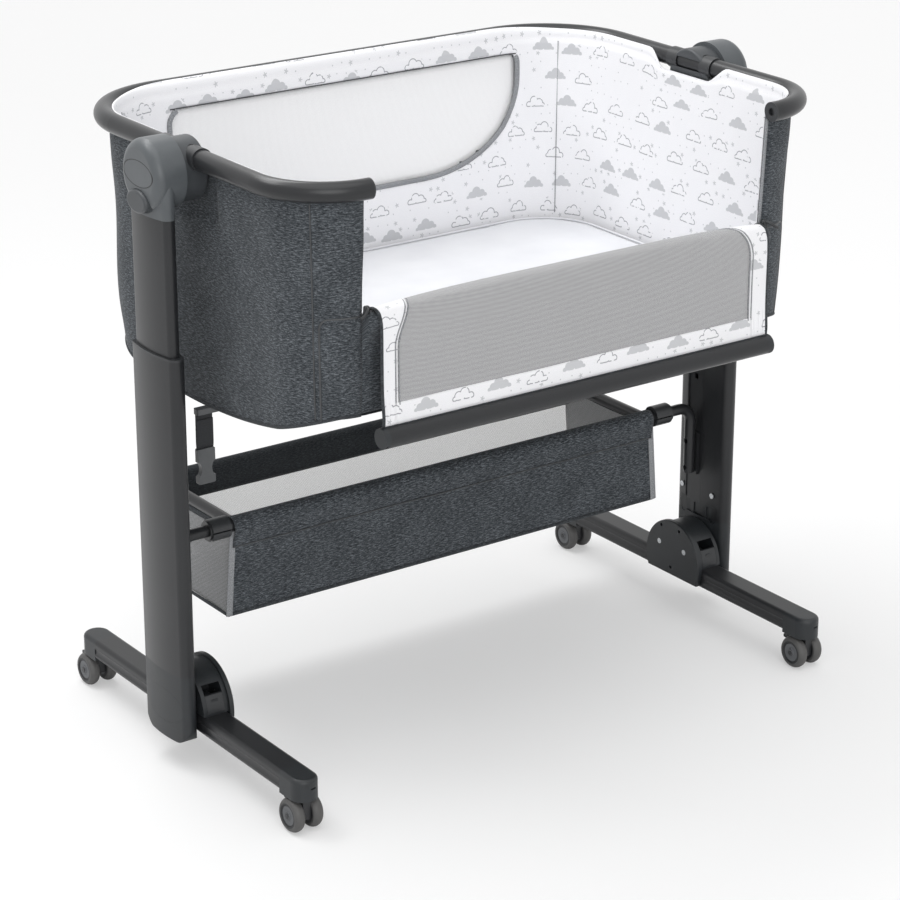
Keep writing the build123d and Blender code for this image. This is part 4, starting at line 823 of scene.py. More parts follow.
# %% Smooth lines and slow waves
def curve_through(knots, count):
    """Smooth line through a few points."""
    knots = np.asarray(knots, float)
    roots = np.sqrt(np.linalg.norm(np.diff(knots, axis=0), axis=1))
    far = np.concatenate([[0], np.cumsum(roots)])
    padded = np.vstack([2 * knots[0] - knots[1], knots, 2 * knots[-1] - knots[-2]])
    knot_at = np.concatenate([[far[0] - (far[1] - far[0])], far, [far[-1] + far[-1] - far[-2]]])
    line = np.empty((count, knots.shape[1]))
    for n, t in enumerate(np.linspace(far[0], far[-1], count)):
        i = min(max(int(np.searchsorted(far, t, "right")) - 1, 0), len(knots) - 2)
        p, q = padded[i : i + 4], knot_at[i : i + 4]

        def between(ends, k, m):
            """Blend of two neighbouring points, by where t lies between two knots."""
            span = q[m] - q[k]
            return (q[m] - t) / span * ends[0] + (t - q[k]) / span * ends[1]

        a = [between(p[k : k + 2], k, k + 1) for k in range(3)]
        b = [between(a[k : k + 2], k, k + 2) for k in range(2)]
        line[n] = between(b, 1, 2)
    return line


def even_steps(line, pitch):
    """The same line in even steps of about pitch millimetres."""
    far = walked(line)
    wanted = np.linspace(0, far[-1], max(int(round(far[-1] / pitch)), 2) + 1)
    return np.stack([np.interp(wanted, far, line[:, k]) for k in range(line.shape[1])], -1)


def softness(u, v, size, seed):
    """Slow soft waves in -1..1, the same each run, for puckers and sags."""
    lots = np.random.default_rng(seed)
    total = np.zeros(np.broadcast(u, v).shape)
    for _ in range(7):
        angle, phase = lots.uniform(0, 2 * pi, 2)
        wave = size * lots.uniform(0.7, 1.6)
        total = total + np.sin((u * cos(angle) + v * sin(angle)) * 2 * pi / wave + phase)
    return total / 4


print("piping and curve makers ready")

# %% [markdown]
# ## The window's outline
# The back wall has a large net window: square at the top, with one wide sweeping
# corner low on the right. The outline is found once, and the wall, the lining, the
# net and the tape round it all use it.

# %% Window outline
WINDOW = (-270.0, 311.0, 637.0, 795.0)
SWEEP_WIDE, SWEEP_TALL, TIGHT = 170.0, 128.0, 22.0


def corner(cx, cz, a, b, start):
    """Quarter of an oval about a centre, from the angle start."""
    turns = np.linspace(0, pi / 2, 14) + start
    return np.stack([cx + a * np.cos(turns), cz + b * np.sin(turns)], -1)


def window_outline():
    """Closed outline as (walk, height), from the top left, down and round."""
    left, right, low, high = WINDOW
    wide, small = 3 * TIGHT, TIGHT / 2
    line = np.vstack(
        [
            corner(left + TIGHT, high - TIGHT, TIGHT, TIGHT, pi / 2),
            corner(left + wide, low + wide, wide, wide, pi),
            corner(right - SWEEP_WIDE, low + SWEEP_TALL, SWEEP_WIDE, SWEEP_TALL, 3 * pi / 2),
            corner(right - small, high - small, small, small, 0),
        ]
    )
    return even_steps(np.vstack([line, line[:1]]), 5.0)[:-1]


print("window", SWEEP_WIDE, "mm wide at its sweep")

# %% Tests against an outline
def nearest_on(outline, points):
    """Nearest point of a closed outline to each point."""
    best = np.full(len(points), 1e9)
    found = points.copy()
    for a, d in zip(outline, np.roll(outline, -1, 0) - outline):
        t = np.clip(((points - a) @ d) / (d @ d), 0, 1)
        on = a + t[:, None] * d
        far = np.linalg.norm(points - on, axis=1)
        near = far < best
        best = np.where(near, far, best)
        found[near] = on[near]
    return found, best


def inside(outline, points):
    """Which points lie inside a closed outline."""
    odd = np.zeros(len(points), bool)
    for (ax, az), (bx, bz) in zip(outline, np.roll(outline, -1, 0)):
        crosses = (az > points[:, 1]) != (bz > points[:, 1])
        where = ax + (points[:, 1] - az) * (bx - ax) / (bz - az if bz != az else 1e-9)
        odd ^= crosses & (points[:, 0] < where)
    return odd


window_line = window_outline()
print("window outline of", len(window_line), "points")

# %% [markdown]
# ## The basin's wall and lining
# The wall is a padded panel. Its outer skin hangs from under the rim, narrows
# downwards and ends in a shallow arc; its inner skin is the lining. Near the top
# it rises behind the tube, and beside each shoulder it is pressed in, clear of the
# hub. A grid of points is pulled onto the window's outline before the cells inside
# it are cut out, so the hole has a clean edge.

# %% Grid of the wall with its window
WALL_COLUMNS, WALL_ROWS, GRID_TOP, SNAP = 331, 50, 806.0, 3.1
END_FROM, DROP_LOW, DROP_HIGH, DROP_DEEP = 300.0, 745.0, 808.0, 9.0
SEAM_WIDE, SEAM_DEEP = 4.5, 1.6
SLOUCH_Z, SLOUCH_TALL, SLOUCH_DEEP = 575.0, 85.0, 8.0
PRESSED_OUT, PRESSED_IN = 15.2, 16.4
PINCH_Y, PINCH_Z, PINCH_IN = 52.0, 753.0, 17.2
POCKET_TOP, POCKET_IN, POCKET_BEND = 658.0, 9.0, 12.0


def wall_grid(low, high, rows):
    """Walks and heights of a grid over the wall, snapped to the window, and its hole."""
    s = np.linspace(-EDGE_WALK, EDGE_WALK, WALL_COLUMNS)
    y = rim_walk(s)[1]
    share = np.linspace(0, 1, rows)
    floor = low(y) if callable(low) else low + 0 * y
    z = floor[:, None] + (high - floor)[:, None] * share[None]
    walk = np.repeat(s[:, None], rows, 1)
    flat = np.stack([walk.ravel(), z.ravel()], -1)
    on, far = nearest_on(window_line, flat)
    near = far < SNAP
    flat[near] = on[near]
    grid = flat.reshape(WALL_COLUMNS, rows, 2)
    middles = (grid[:-1, :-1] + grid[1:, :-1] + grid[:-1, 1:] + grid[1:, 1:]) / 4
    hole = inside(window_line, middles.reshape(-1, 2)).reshape(middles.shape[:2])
    return grid[..., 0], grid[..., 1], hole


print("grid of", WALL_COLUMNS, "columns")

# %% Dips, pinches and slouch of the wall
def pinch(s, z):
    """1 where the wall is pressed in beside a shoulder's hub."""
    y = np.abs(rim_walk(s)[1])
    side = np.abs(rim_walk(s)[0]) > END_FROM
    return side * (1 - ease(y, PINCH_Y, PINCH_Y + 16)) * ease(z, PINCH_Z - 22, PINCH_Z - 4)


def seam_dip(s, z):
    """How deep the seams pull the outer cloth in."""
    upright = hump(np.abs(s), SEAM_WALK, SEAM_WIDE)
    level = hump(z, POCKET_TOP, SEAM_WIDE) * ease(np.abs(s), SEAM_WALK - 4, SEAM_WALK)
    return SEAM_DEEP * np.maximum(upright, level)


def hub_dip(s):
    """1 beside a hub, where the cloth's top edge drops below it."""
    x, y = rim_walk(s)[:2]
    return (np.abs(x) > END_FROM) * (1 - ease(np.abs(y), 46, 84))


def top_drop(s, z):
    """How far the cloth's top sinks beside a hub, as vectors."""
    return (DROP_DEEP * hub_dip(s) * ease(z, DROP_LOW, DROP_HIGH))[..., None] * (0, 0, 1)


def no_hole(rows):
    """Cells above the wall's grid, none of them cut out."""
    return np.zeros((WALL_COLUMNS - 1, rows), bool)


def slouch(s, z):
    """How far the cloth bags outwards low on the two ends."""
    x, y = rim_walk(s)[:2]
    bag = hump(z, SLOUCH_Z, SLOUCH_TALL)
    return SLOUCH_DEEP * bag * ease(np.abs(x), 250, 330) * (0.35 + 0.65 * ease(y, -60, 80))


print("dips at the seams", SEAM_DEEP, "mm deep")

# %% Outer and inner skin of the wall
s, z, hole = wall_grid(skirt, GRID_TOP, WALL_ROWS)
puff = 1.1 * softness(s, z, 120.0, 11)
puff = puff * ease(DROP_HIGH - z, 0, 60) * ease(z - skirt(rim_walk(s)[1]), 0, 40)
outer_in = hang_in(z) + puff + seam_dip(s, z) - slouch(s, z)
outer_in = np.maximum(outer_in, HANG - 0.5)
press = pinch(s, z)
outer_in = outer_in * (1 - press) + PINCH_IN * press
outer_skin = wall_points(s, z, outer_in) - top_drop(s, z)
inner_in = np.maximum(hang_in(z) + WALL_THICK - LINING_THICK - 0.4, outer_in + 1.0 * press)
inner_in = np.minimum(inner_in, hang_in(z) + WALL_THICK - LINING_THICK - 0.2)
inner_skin = wall_points(s, z, inner_in) - top_drop(s, z)
print("cells in the window:", int(hole.sum()))

# %% Top edge of the wall
ROLL = ((6.6, 808.6), (9.0, 811.2), (12.3, 813.6))
ROLL_IN = ((16.2, 808.6), (16.0, 811.2), (15.6, 813.6))
end_s = s[:, -1]
end_press = pinch(end_s, z[:, -1])
end_drop = top_drop(end_s, DROP_HIGH)


def rolled(knots, pressed_in):
    """Rows of points that close the wall's top edge over the tube."""
    rows = []
    for inset, height in knots:
        inset = inset * (1 - end_press) + pressed_in * end_press
        rows.append(wall_points(end_s, height, inset) - end_drop)
    return np.stack(rows, 1)


outer_skin = np.concatenate([outer_skin, rolled(ROLL, PRESSED_OUT)], 1)
inner_skin = np.concatenate([inner_skin, rolled(ROLL_IN, PRESSED_IN)], 1)
more_z = z[:, -1:] + 3.0 * np.arange(1, len(ROLL) + 1)[None]
wall_cloth = np.concatenate([spread(s, z), spread(end_s[:, None], more_z)], 1)
hole = np.concatenate([hole, no_hole(len(ROLL))], 1)
basin_wall = two_skins(
    "basin_wall", outer_skin, inner_skin, wall_cloth, "cradle", body_melange, hole
)
print("basin wall:", len(basin_wall.data.vertices), "points")

# %% Lining of the wall
LINING_LOW, LINING_HIGH, LINING_ROWS = 529.0, 812.5, 48
FLAT_UNDER, FLAT_OVER, RIPPLE = 16.6, 18.4, 0.9
s, z, hole = wall_grid(LINING_LOW, LINING_HIGH, LINING_ROWS)
ripple = RIPPLE * softness(s, z, 150.0, 23) + RIPPLE * softness(s, 0.22 * z, 62.0, 29)
ripple = ripple * ease(z, LINING_LOW, 600.0) * ease(LINING_HIGH - z, 0, 40)
far_in = hang_in(z) + WALL_THICK + np.clip(ripple, -0.2, 2.6)
near_in = hang_in(z) + WALL_THICK - LINING_THICK
print("ripples of", round(float(ripple.max()), 1), "mm at most")

# %% Lining wrapped over the tube
WRAP_ROWS, WRAP_START, WRAP_END, WRAP_BACK = 6, radians(-12.8), radians(36), radians(60)
WRAP_UNDER, WRAP_OVER = RIM_R + 0.5, RIM_R + 2.1
edge_s = s[:, -1]
dip = hub_dip(edge_s)
at_corner = ease(np.abs(edge_s), HALF_BACK - 30, HALF_BACK + 110)
wrap_to = WRAP_BACK + (WRAP_END - WRAP_BACK) * at_corner


def wrapped(radius, flat_in):
    """Rows of points round the tube; flat ones, flat_in inside the rim's line, at a hub."""
    rows = []
    for row in range(WRAP_ROWS):
        turn = WRAP_START + (wrap_to - WRAP_START) * row / (WRAP_ROWS - 1)
        flat_z = LINING_HIGH - DROP_DEEP + 0.3 * (row + 1)
        height = (RIM_Z + radius * np.sin(turn)) * (1 - dip) + flat_z * dip
        inset = radius * np.cos(turn) * (1 - dip) + flat_in * dip
        rows.append(wall_points(edge_s, height, inset))
    return np.stack(rows, 1)


near_skin = wall_points(s, z, near_in) - top_drop(s, z)
far_skin = wall_points(s, z, far_in) - top_drop(s, z)
more_z = (wrap_to[:, None] - WRAP_START) * WRAP_OVER * np.linspace(0.17, 1, WRAP_ROWS)[None]
more = spread(edge_s[:, None], LINING_HIGH + more_z)
lining = two_skins(
    "basin_lining",
    np.concatenate([near_skin, wrapped(WRAP_UNDER, FLAT_UNDER)], 1),
    np.concatenate([far_skin, wrapped(WRAP_OVER, FLAT_OVER)], 1),
    np.concatenate([spread(s, z), more], 1),
    "cradle",
    nursery_print,
    np.concatenate([hole, no_hole(WRAP_ROWS)], 1),
)
print("lining:", len(lining.data.vertices), "points")

# %% [markdown]
# ## The window's net and its tape
# The net is one smooth sheet that follows the wall's lean. A knitted tape, folded
# over the cut edge of the lining, hides the join on the sides and the bottom; a stitched line runs
# along the top.

# %% Net and tape
NET_STEP, NET_SEAM = 9.0, 6.0
left, right, low, high = WINDOW
net_s = np.arange(left - NET_SEAM, right + NET_SEAM, NET_STEP)
net_z = np.arange(low - NET_SEAM, high + NET_SEAM + 1, NET_STEP)
gs, gz = np.meshgrid(net_s, net_z, indexing="ij")
sag = 1.5 * np.sin(pi * np.clip((gs - left) / (right - left), 0, 1))
sag = sag * np.sin(pi * np.clip((gz - low) / (high - low), 0, 1))
net_grid = wall_points(gs, gz, hang_in(gz) + WALL_THICK / 2 + sag)
window_net = panel("window_net", net_grid, 0.8, spread(gs, gz), "cradle", pale_net)
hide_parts("window_mesh")


def on_lining(line, off):
    """Points of a (walk, height) line, off millimetres inside the lining, and the way in."""
    s, z = line[:, 0], line[:, 1]
    return wall_points(s, z, hang_in(z) + WALL_THICK + off), inward(s)


TAPE = ((-4.0, -0.6), (-3.2, 0.7), (0, 1.3), (3.2, 0.7), (4.0, -0.6), (0, -1.0))
top_edge = window_line[:, 1] > high - 1.5
start = int(np.argmax(top_edge & ~np.roll(top_edge, -1)))
tape_line = np.roll(window_line, -start, 0)
tape_line = tape_line[tape_line[:, 1] <= high - 1.0]
points, ways = on_lining(tape_line, 0.7)
window_tape = swept("window_tape", points, TAPE, ways, "cradle", grey_tape)
points, ways = on_lining(tape_line, -WALL_THICK - 0.6)
outer_tape = swept("window_tape_outer", points, TAPE, -ways, "cradle", trim_melange)
points, ways = on_lining(spread(np.linspace(left + 2, right - 2, 120), high + 0.5), 0.2)
flat_cord = ring_section(0.9, 8, 0.7)
window_stitch = swept(
    "window_stitch", points, flat_cord, ways, "cradle", stitch_and_painted_shade
)
print("window net and tapes made")

# %% [markdown]
# ## Front wall
# Below the opening the wall goes on as a padded barrier with a rounded crest. It is
# one section swept along the front: the outside and underside are melange, and a
# separate lining lies on its inner face.

# %% Sections of the front wall and its lining
FRONT_SECTION = (
    (-248.6, 531.5),
    (-252.0, 560.0),
    (-254.6, 600.0),
    (-262.0, 628.0),
    (-271.0, 644.0),
    (-275.6, 656.0),
    (-273.6, 666.0),
    (-265.5, 670.8),
    (-256.0, 669.0),
    (-249.5, 660.0),
    (-245.6, 640.0),
    (-241.3, 600.0),
    (-239.2, 560.0),
    (-237.8, 531.5),
)
INNER_SECTION = (
    (-235.0, 529.5),
    (-236.4, 560.0),
    (-238.6, 600.0),
    (-243.2, 640.0),
    (-247.5, 660.0),
    (-253.5, 669.5),
)
print("barrier", round(FRONT_SECTION[7][1] - FRONT_SECTION[0][1], 1), "mm tall")

# %% Front wall
CREST_LOW, CREST_HIGH = 615.0, 668.0
front_profile = even_steps(curve_through(FRONT_SECTION, 160), 4.0)
front_x = np.linspace(-OPEN_HALF, OPEN_HALF, 107)[:, None]
profile_y, profile_z = front_profile.T[:, None]
swell = 0.8 * softness(front_x, profile_z, 90.0, 5)


def crest_droop(x):
    """How far the crest sinks towards its ends."""
    return 7.0 * (np.abs(x) / FLAP_HALF) ** 4


taper = 1 - 0.12 * hump(np.abs(front_x), OPEN_HALF, 9.0)
mid_y, mid_z = front_profile[:, 0].mean(), 600.0
y = mid_y + (profile_y - mid_y) * taper + swell * 0.5
z = np.where(
    profile_z > mid_z, mid_z + (profile_z - mid_z) * (0.98 + 0.02 * taper), profile_z
) - crest_droop(front_x) * ease(profile_z, CREST_LOW, CREST_HIGH)
front_wall = new_piece(
    "front_wall",
    spread(front_x, y, z).reshape(-1, 3),
    ring_faces(len(front_x), len(front_profile)),
    "cradle",
    body_melange,
    spread(front_x, walked(front_profile)[None]).reshape(-1, 2),
)
print("front wall of", len(front_profile), "points a section")

# %% Lining of the front wall
inner_y, inner_z = even_steps(curve_through(INNER_SECTION, 60), 6.0).T[:, None]
y = inner_y + 0.5 * softness(front_x, inner_z, 100.0, 31)
z = inner_z - crest_droop(front_x) * ease(inner_z, CREST_LOW, CREST_HIGH)
front_lining = panel(
    "front_lining",
    spread(front_x * 0.998, y, z),
    1.6,
    spread(front_x + 150.0, inner_z),
    "cradle",
    nursery_print,
)
print("lining of", len(front_lining.data.vertices), "points on the barrier")

# %% [markdown]
# ## Floor cloth
# Under the board a single cloth closes the basin. It is built as rings that shrink
# from the wall's foot to the middle, so that its edge follows the wall exactly.

# %% Floor cloth under the board
FLOOR_Z = 524.5
edge = wall_points(
    np.linspace(-EDGE_WALK, EDGE_WALK, 200), FLOOR_Z, hang_in(FLOOR_Z) + WALL_THICK - 0.6
)
front_row = spread(np.linspace(OPEN_HALF, -OPEN_HALF, 40), -237.5, FLOOR_Z)
rim_of_floor = np.vstack([edge, front_row[1:-1]])
centre = rim_of_floor.mean(0)
shares = np.linspace(0.0, 1.0, 14)[1:]
rings = centre + (rim_of_floor[:, None] - centre) * shares[None, :, None]
closed = np.concatenate([rings, rings[:1]], 0)
floor_cloth = two_skins(
    "basin_floor",
    closed,
    closed - (0, 0, 1.2),
    closed[..., :2],
    "cradle",
    trim_melange,
)
of_shell = [basin_wall, lining, front_wall, front_lining, floor_cloth]
for piece in of_shell + [window_tape, outer_tape, window_stitch]:
    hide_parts("body_shell")
print("floor cloth closed under the board")

# %% [markdown]
# ## Seams and piping of the basin
# A seam reads as a thin dark line in a shallow dip, with the dip already in the
# wall. That dark line is painted shade of the dip, laid on as a thin dark tube.
# The lower edge is bound with a thicker piping, and the two front edges with
# a grey one that ends at the zip sliders.

# %% Seams and piping
def on_outer(line):
    """Points of a (walk, height) line just outside the outer cloth, and the way out."""
    s, z = line[:, 0], line[:, 1]
    return wall_points(s, z, hang_in(z) + seam_dip(s, z) - slouch(s, z) - 0.1), -inward(s)


def trim(name, points, section, out, finish):
    """Cord, seam or painted seam shade of the basin."""
    piece = swept(name, points, section, out, "cradle", finish)
    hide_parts("body_shell")


for side, word in SIDES:
    low = float(skirt(rim_walk(np.array(side * SEAM_WALK))[1]))
    points, ways = on_outer(spread(side * SEAM_WALK, np.linspace(low + 1, 806, 60)))
    # Painted shade: a thin dark tube along the dip of the corner seam.
    trim("corner_seam_shade_" + word, points, ring_section(1.1, 8), ways, stitch_and_painted_shade)
    turns = np.linspace(0, pi / 2, 8)
    pocket = SEAM_WALK + POCKET_IN
    bend = (1 - np.stack([np.sin(turns), np.cos(turns)], -1)) * (POCKET_BEND, -POCKET_BEND)
    seam = np.vstack([[EDGE_WALK, POCKET_TOP], bend + (pocket, POCKET_TOP), [pocket, low + 2]])
    points, ways = on_outer(even_steps(seam * (side, 1), 4.0))
    # Painted shade: a thin dark tube along the dip of the pocket seam.
    trim("pocket_seam_shade_" + word, points, ring_section(1.3, 8), ways, stitch_and_painted_shade)
    heights = np.linspace(665, 807, 40)
    points = wall_points(np.full(40, side * (EDGE_WALK + 0.8)), heights, hang_in(heights) + 5.5)
    trim("opening_piping_" + word, points, ring_section(2.2, 10), (0, 1, 0), grey_tape)
walks = np.linspace(-EDGE_WALK, EDGE_WALK, 360)
edge_z = skirt(rim_walk(walks)[1])
points = wall_points(walks, edge_z + 0.6, hang_in(edge_z) + 0.6 - slouch(walks, edge_z))
trim("skirt_piping", points, ring_section(2.3, 12), (0, 0, -1), trim_melange)
for side, word in SIDES:
    points, ways = on_lining(spread(side * CORNER_SEAM, np.linspace(560, 812, 50)), 0.5)
    seam_name = "lining_seam_" + word
    trim(seam_name, points, ring_section(0.6, 8), ways, grey_tape)
print("seams and pipings sewn")

# %% [markdown]
# ## Zips
# Each side edge of the opening has a zip. Its slider parks at the top corner of the
# flap, with a small pull tab that hangs from it.

# %% Zip sliders
def slab(name, middle, wide, deep, tall, bend):
    """Small moulded block with rounded edges, wide along X, deep along Y."""
    section = []
    for cx, cy, start in ((1, 1, 0), (-1, 1, 1), (-1, -1, 2), (1, -1, 3)):
        for turn in np.linspace(0, pi / 2, 4):
            angle = start * pi / 2 + turn
            x = cx * (wide / 2 - bend) + bend * cos(angle)
            section.append((x, cy * (deep / 2 - bend) + bend * sin(angle)))
    section = np.array(section)
    levels = ((0.0, 0.72), (0.06, 0.9), (0.2, 1.0), (0.8, 1.0), (0.94, 0.9), (1.0, 0.72))
    points = [spread(*(section * size).T, (share - 0.5) * tall) + middle for share, size in levels]
    faces = ring_faces(len(levels), len(section))
    return new_piece(
        name, np.concatenate(points), faces, "cradle", fitting_plastic
    )


ZIP_X, ZIP_Y, ZIP_Z = 315.5, -262.5, 661.0
PULL = ((0, -3, 10), (3, -7, 9), (9, -10, 4), (15, -10, 1))
for side, word in SIDES:
    middle = (side * ZIP_X, ZIP_Y, ZIP_Z + 6)
    slider = slab("zip_slider_" + word, middle, 8.0, 6.0, 12.0, 2.0)
    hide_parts("body_shell")
    hanging = curve_through((np.array(PULL) + (ZIP_X, ZIP_Y, ZIP_Z)) * (side, 1, 1), 24)
    tab = ring_section(2.2, 10, 0.45)
    trim("zip_pull_" + word, hanging, tab, (0, -1, 0.3), fitting_plastic)
print("zip sliders parked")

# %% [markdown]
# ## The drop side's cloth
# The flap is fastened on the barrier's crest, hangs over it and ends on the rail.
# When the side is raised it swings up with the rail, and its top inch rolls over
# the crest. So it is built along one hanging line.

# %% Hanging line of the flap
FLAP_KNOTS = (
    (-251.5, 670.5),
    (-257.5, 674.0),
    (-266.0, 675.0),
    (-274.6, 671.6),
    (-279.2, 661.0),
    (-280.2, 645.0),
    (-280.6, 600.0),
    (-281.2, 560.0),
    (-282.6, 532.0),
    (-283.0, 522.4),
)
flap_line = curve_through(FLAP_KNOTS, 400)
flap_far = walked(flap_line)
FLAP_LONG = float(flap_far[-1])
HEM_UP = FLAP_LONG - 24.0


def flap_points(x, t):
    """Points of the flap at x and t millimetres down its hanging line."""
    y = np.interp(t, flap_far, flap_line[:, 0])
    z = np.interp(t, flap_far, flap_line[:, 1])
    hanging = ease(t, 26.0, 60.0)
    sewn = FLAP_LONG
    fold = 0.9 * softness(x, t, 110.0, 77) * hanging * (1 - ease(t, sewn - 20, sewn))
    gather = ease(t, sewn - 45, sewn - 12) * (1 - ease(t, sewn - 10, sewn))
    corner = ease(np.abs(x), FLAP_HALF - 42, FLAP_HALF - 14)
    fold = fold + 1.1 * gather * corner * np.sin(np.abs(x) * 2 * pi / 7.5)
    return np.stack([x + 0 * t, y + fold, z - crest_droop(x) * (1 - ease(t, 20, 110))], -1)


print("flap hangs", round(FLAP_LONG, 1), "mm")

# %% Net and borders of the flap
def net_left(t):
    """Left edge of the net at t."""
    return -262.0 - 25.0 * ease(t, 0, 75)


def net_right(t):
    """Right edge of the net at t, rounded at the top."""
    bend = np.clip(t / 62.0, 0, 1)
    return 214.0 + 66.0 * np.sqrt(np.clip(1 - (1 - bend) ** 2, 0, 1))


def edge_at(edge, t, off=0.0):
    """x of an edge at t, whether the edge is a number or a function."""
    return (edge(t) if callable(edge) else edge + 0 * t) + off


def flap_strip(name, edges, top, low, columns, finish=nursery_print, lift=0.5, offs=(0, 0)):
    """Panel of the flap between two side edges, offs beside them, and two heights."""
    t = np.linspace(top, low, max(int((low - top) / 3.5), 3))[None]
    start, stop = edge_at(edges[0], t, offs[0]), edge_at(edges[1], t, offs[1])
    x = start + (stop - start) * np.linspace(0, 1, columns)[:, None]
    grid = flap_points(x, t + 0 * x)
    grid[..., 1] -= lift
    thick, slot = (0.8, "mesh") if finish is flap_net else (1.2, "panel_cloth")
    return panel(name, grid, thick, spread(x, FLAP_LONG - t), None, finish)


net_piece = flap_strip("flap_net", (net_left, net_right), 6.0, HEM_UP, 130, flap_net, 0.0)
side_edge = (-FLAP_HALF, net_left)
border_left = flap_strip("flap_border_left", side_edge, 0.0, FLAP_LONG, 18, offs=(0, 3))
side_edge = (net_right, FLAP_HALF)
border_right = flap_strip("flap_border_right", side_edge, 0.0, FLAP_LONG, 26, offs=(-3, 0))
border_low = flap_strip("flap_border_low", (-288.0, 281.0), HEM_UP - 3, FLAP_LONG, 120, lift=0.7)
border_top = flap_strip("flap_border_top", (-263.0, 216.0), 0.0, 8.0, 100, lift=0.0)
print("net of", len(net_piece.data.vertices), "points with four borders")

# %% Hems and edge binding
def flap_cord(name, edge, t, section, finish=grey_tape, off=1.2, beside=0.0):
    """Cord or stitched line that follows the flap beside an edge."""
    points = flap_points(edge_at(edge, t, beside), t) - (0, off, 0)
    return swept(name, points, section, (0, -1, 0.001), None, finish)


down = np.linspace(0.5, FLAP_LONG - 0.5, 70)
net_down = np.linspace(7.0, HEM_UP, 60)
stitch = ring_section(1.1, 8, 0.6)
bound = ring_section(2.0, 10)
bindings = [
    flap_cord("flap_binding_left", -FLAP_HALF, down, bound, trim_melange, 0.3),
    flap_cord("flap_binding_right", FLAP_HALF, down, bound, trim_melange, 0.3),
]
net_seams = [
    flap_cord("net_seam_left", net_left, net_down, stitch),
    flap_cord("net_seam_left_inner", net_left, net_down, stitch, off=1.0, beside=5),
    flap_cord("net_seam_right", net_right, net_down, stitch),
    flap_cord("net_seam_right_inner", net_right, net_down, stitch, off=1.0, beside=-5),
]
flap_pieces = [net_piece, border_left, border_right, border_low, border_top]
flap_pieces += bindings + net_seams
for piece in flap_pieces:
    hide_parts("drop_panel")
    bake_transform(piece)
print(len(flap_pieces), "flap pieces bend over the crest")

# %% Hem along the rail
hem = spread(np.linspace(-FLAP_HALF, FLAP_HALF, 120), RAIL_Y, RAIL_Z + RAIL_R + 0.4)
cord = ring_section(2.0, 10, 0.8)
rail_hem = swept(
    "rail_hem", hem, cord, (0, 0, 1), "drop_side", trim_melange
)
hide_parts("drop_panel")
print("hem sewn over the rail")

# %% [markdown]
# ## The mattress
# A thin foam pad in a fitted cotton sheet. It starts a little small, is remeshed
# evenly, and is blown up by a short cloth simulation whose travel is capped, so that
# it swells softly between its edges. The piping along its top edge is added after.

# %% Outline of the mattress
PAD_GAP, PAD_LOW, PAD_HIGH, PAD_SWELL = 7.5, 534.2, 553.4, 3.2
PAD_FRONT, PAD_BEND, PAD_EDGE_Z = -233.0, 14.0, 545.0
PAD_HALF_X, PAD_HALF_Y, PAD_MIDDLE_Y = 372.0, 255.0, 14.0


def pad_outline(gap):
    """Outline of the pad: the wall's own curve at three sides and a straight front."""
    walks = np.linspace(-EDGE_WALK, EDGE_WALK, 260)
    line = wall_points(walks, PAD_EDGE_Z, hang_in(PAD_EDGE_Z) + WALL_THICK + gap)[:, :2]
    line = line[line[:, 1] > PAD_FRONT + PAD_BEND]
    turns = np.linspace(0, pi / 2, 8)
    right, left = line[-1, 0] - PAD_BEND, line[0, 0] + PAD_BEND
    across, down = PAD_BEND * np.cos(turns), PAD_BEND * np.sin(turns)
    low_right = spread(right + across, PAD_FRONT + PAD_BEND - down)
    low_left = spread(left - down, PAD_FRONT + PAD_BEND - across)
    front = spread(np.linspace(right, left, 60), PAD_FRONT)
    return np.vstack([line, low_right, front[1:-1], low_left])


def pad_section(share):
    """How far the outline is pulled in at each height of the pad's side."""
    return 4.5 * (abs(2 * share - 1)) ** 3


print("pad", round(PAD_HIGH - PAD_LOW, 1), "mm thick before it swells")

# %% Mattress form
outline = pad_outline(PAD_GAP)
centre = np.array([0.0, PAD_MIDDLE_Y])
levels = np.linspace(0, 1, 7)
points = []
for share in levels:
    flat = outline + unit(centre - outline) * pad_section(share)
    points.append(spread(*flat.T, PAD_LOW + share * (PAD_HIGH - PAD_LOW)))
faces = ring_faces(len(levels), len(outline))
points = np.concatenate(points)
mattress_pad = new_piece("mattress_pad", points, faces, None, sheet_cotton)
print("form of", len(levels), "levels")

# %% Swelling by cloth simulation
def shaped(piece):
    """Copy of a piece's mesh with its modifiers at work."""
    ready = piece.evaluated_get(bpy.context.evaluated_depsgraph_get())
    return bpy.data.meshes.new_from_object(ready)


def points_of(mesh):
    """Points of a mesh, in metres."""
    points = np.empty(len(mesh.vertices) * 3)
    mesh.vertices.foreach_get("co", points)
    return points.reshape(-1, 3)


def blow_up(piece, voxel, cap, pressure=4.0, frames=20):
    """Remeshes a closed form evenly, swells it with cloth, and caps how far it moved."""
    remesh = piece.modifiers.new("even", "REMESH")
    remesh.mode = "VOXEL"
    remesh.voxel_size = voxel * MM
    bpy.context.view_layer.update()
    settled = shaped(piece)
    piece.modifiers.clear()
    finish = piece.data.materials[0]
    piece.data = settled
    piece.data.materials.clear()
    piece.data.materials.append(finish)
    start = points_of(settled)
    moved = start
    cloth = piece.modifiers.new("swell", "CLOTH")
    cloth.settings.use_pressure = True
    cloth.settings.uniform_pressure_force = pressure
    cloth.settings.effector_weights.gravity = 0
    cloth.settings.quality = 5
    cloth.collision_settings.use_collision = False
    scene = bpy.context.scene
    for now in range(1, frames + 1):
        scene.frame_set(now)
    moved = points_of(shaped(piece))
    piece.modifiers.remove(cloth)
    scene.frame_set(1)
    shift = moved - start
    far = np.linalg.norm(shift, axis=1, keepdims=True)
    moved = start + shift * np.minimum(1, cap * MM / np.maximum(far, 1e-9))
    settled.vertices.foreach_set("co", moved.ravel())
    settled.update()
    return moved


print("blower ready")

